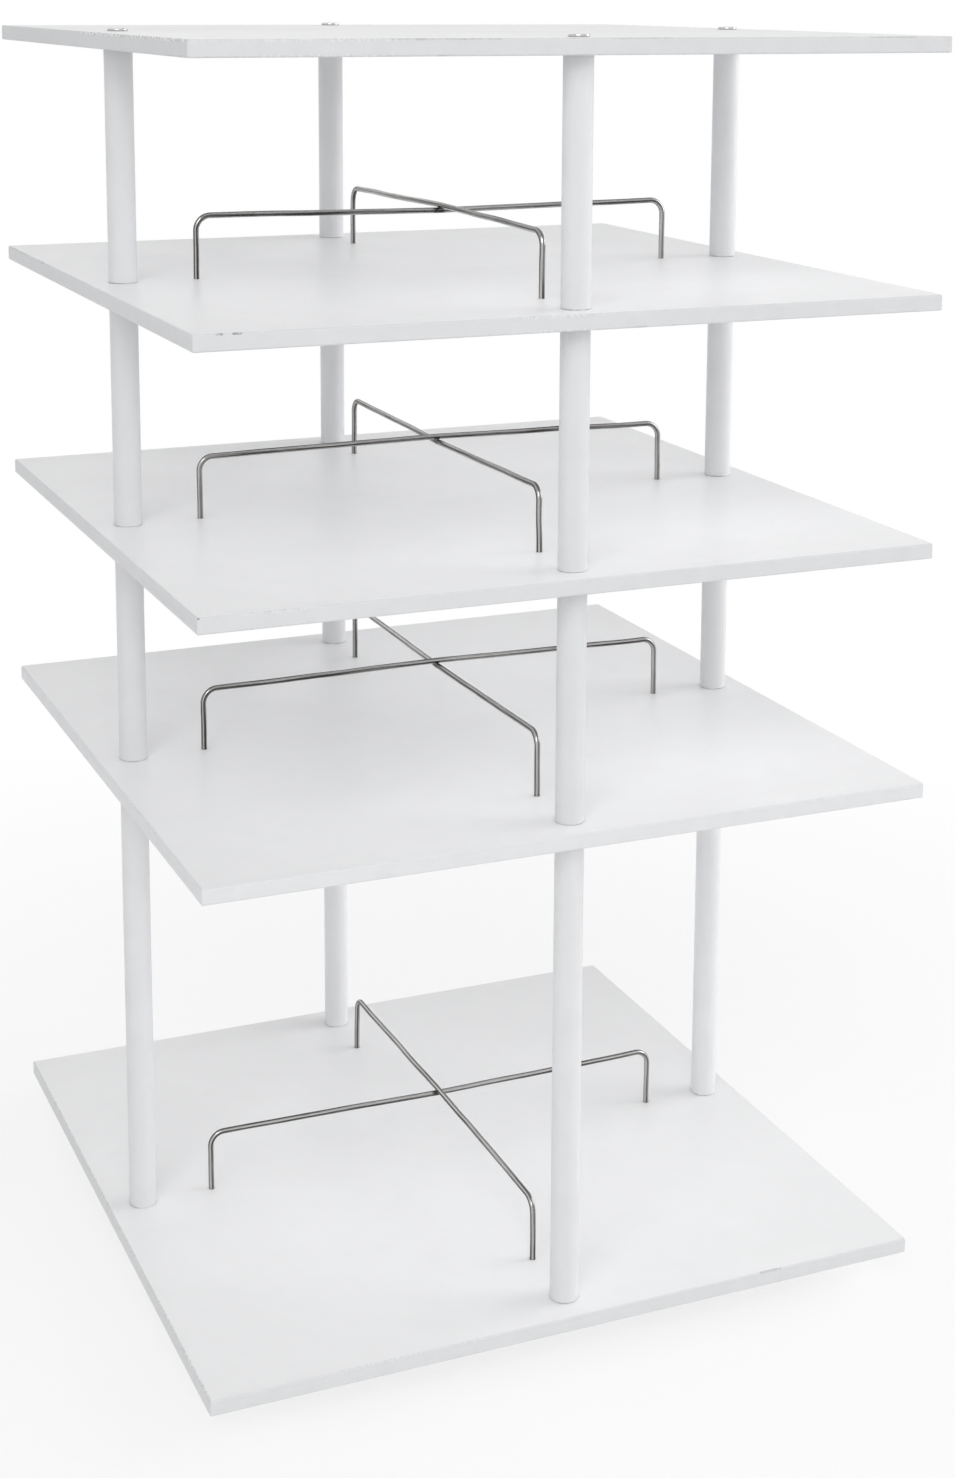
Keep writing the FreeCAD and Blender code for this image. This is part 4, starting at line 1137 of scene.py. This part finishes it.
def make_world():
    """A white room, brightest round the horizon and on the key lamp's side."""
    world = bpy.data.worlds.new("studio")
    bpy.context.scene.world = world
    tree = emptied(world)
    toward = node(tree, "ShaderNodeTexCoord").outputs["Generated"]
    band = smooth_step(tree, axes(tree, toward)["Z"], 0.1, 0.75, ROOM_HORIZON, ROOM_ZENITH)
    side = total(tree, vector_math(tree, "DOT_PRODUCT", toward, ROOM_BRIGHT_SIDE), 1.0)
    level = product(tree, band, side)
    soft = output(tree, "ShaderNodeBackground", {"Color": WHITE, "Strength": level})
    white = output(tree, "ShaderNodeBackground", {"Color": WHITE, "Strength": 1.0})
    room = output(tree, "ShaderNodeMixShader", {0: seen_white(tree), 1: soft, 2: white})
    node(tree, "ShaderNodeOutputWorld", {"Surface": room})


def floor_material():
    """A white studio floor that takes soft shadows near the object and fades to plain white."""
    material, tree = new_material("studio_floor")
    place = object_place(tree)
    tone = toned(tree, place, STUDIO_FLOOR, 3.0, 0.01)["Color"]
    lit = output(tree, "ShaderNodeBsdfPrincipled", {"Base Color": tone, "Roughness": 0.7})
    white = output(tree, "ShaderNodeEmission", {"Color": WHITE, "Strength": 1.0})
    fade = smooth_step(tree, vector_math(tree, "LENGTH", place), *FLOOR_FADE, 0.76, 1.0)
    share = product(tree, fade, seen_white(tree))
    floor = output(tree, "ShaderNodeMixShader", {0: share, 1: lit, 2: white})
    clear = output(tree, "ShaderNodeBsdfTransparent")
    below = node(tree, "ShaderNodeNewGeometry").outputs["Backfacing"]
    sides = output(tree, "ShaderNodeMixShader", {0: below, 1: floor, 2: clear})
    node(tree, "ShaderNodeOutputMaterial", {"Surface": sides})
    return material


def make_floor():
    shape = bmesh.new()
    bmesh.ops.create_circle(shape, cap_ends=True, segments=96, radius=FLOOR_RADIUS)
    mesh = bpy.data.meshes.new("studio_floor")
    shape.to_mesh(mesh)
    shape.free()
    floor = new_object("studio_floor", mesh)
    floor.location.z = -FLOOR_DROP
    floor.data.materials.append(floor_material())


def make_lamp(name, place, aim, width, height, power):
    lamp = bpy.data.lights.new(name, "AREA")
    lamp.shape = "RECTANGLE"
    lamp.size = width
    lamp.size_y = height
    lamp.energy = power
    holder = new_object(name, lamp)
    holder.location = place
    direction = Vector(aim) - Vector(place)
    holder.rotation_euler = direction.to_track_quat("-Z", "Y").to_euler()
    holder.visible_camera = False


def make_camera():
    camera = bpy.data.cameras.new("camera")
    camera.lens = LENS
    camera.shift_y = SHIFT_UP
    camera.clip_end = 60.0
    holder = new_object("camera", camera)
    holder.location = CAMERA_PLACE
    holder.rotation_euler = Euler([math.radians(angle) for angle in CAMERA_TURN])
    bpy.context.scene.camera = holder


def finish_boards():
    post = {"From Centre": POST_CIRCLE, "Radius": POST_RADIUS}
    bolt = {"From Centre": POST_CIRCLE, "Radius": BOLT_HEAD_RADIUS}
    leg = {"From Centre": HOOP_CIRCLE, "Radius": WIRE_RADIUS, "Spread": 0.003}
    upper = {"Low": 0.0, "High": 1.0}
    under = {"Low": -1.0, "High": 0.0}
    for number, name in enumerate(SHELVES):
        low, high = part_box(name)
        centre = (low + high) / 2.0
        half = (high - low) / 2.0
        above = bolt if name == "top_shelf" else post
        beneath = bolt if name == "bottom_shelf" else post
        marks = [({**above, **upper}, 0.3, 0.12), ({**beneath, **under}, 0.45, 0.12)]
        if name != "top_shelf":
            marks.append(({**leg, **upper}, 0.6, 0.2))
        seed = 3.7 * number + 1.3
        clothe(name, board_material(name, centre, half, seed, marks))
    clothe("base_board", base_material())


def finish_posts():
    for tier in TIERS:
        low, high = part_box(tier + "_front_post")
        # Painted light: posts are lighter or darker by side, and lighter on the tallest tier.
        gain = TALL_POST_LIGHT_GAIN if tier == "boot_tier" else 1.0
        for side, level in POST_SHADE_LEVEL.items():
            post = "%s_%s_post" % (tier, side)
            white = tinted(POST_WHITE, level * gain)
            clothe(post, post_material(post + "_lacquer", white, low.z, high.z))


def finish_metal(zinc, sheet):
    for tier in TIERS:
        clothe(tier + "_post_inserts", zinc)
    for shelf in SHELVES[1:-1]:
        clothe(shelf + "_studs", zinc)
    for name in ("lower_bearing_plate", "upper_bearing_plate", "bearing_retaining_ring"):
        clothe(name, sheet)


def make_tower():
    bolt_head = (BOLT_SOCKET_FLATS / 2.0, BOLT_HEAD_RADIUS)
    screw_head = (SCREW_RECESS_REACH, SCREW_HEAD_RADIUS)
    nickel = plated_material("polished_nickel", NICKEL, (0.08, 0.22), 300.0, 0.15, 0.3, bolt_head)
    screw_zinc = plated_material("zinc_plated_screw", ZINC, (0.2, 0.38), 400.0, 0.2, 0.3, screw_head)
    zinc = plated_material("zinc_plate", ZINC, (0.28, 0.42), 260.0, 0.25, 0.3)
    sheet = plated_material("galvanised_sheet", SHEET_ZINC, (0.32, 0.5), 150.0, 0.16, 0.25)
    ball = plated_material("bright_ball_steel", BALL_STEEL, (0.06, 0.16), 400.0, 0.06, 0.15)
    wires = (wire_material("drawn_wire_steel", 0.0), wire_material("drawn_wire_steel_crossing_shade", 0.75))
    ring_tree = fastener_ring_tree()
    wire_tree = bent_wire_tree()
    finish_boards()
    finish_posts()
    finish_metal(zinc, sheet)
    clothe("ball_cage", cage_material())
    for tier in TIERS:
        make_hoop(tier, "front_to_back", wire_tree, *wires)
        make_hoop(tier, "side_to_side", wire_tree, *wires)
    make_bolts(ring_tree, nickel)
    make_screws(ring_tree, screw_zinc)
    make_feet(ring_tree, rubber_material())
    make_rivets(ring_tree, zinc)
    make_balls(ring_tree, ball)


make_tower()
make_world()
make_floor()
for lamp_name, lamp_values in LAMPS.items():
    make_lamp(lamp_name, *lamp_values)
make_camera()
bpy.context.scene.view_settings.view_transform = "Standard"
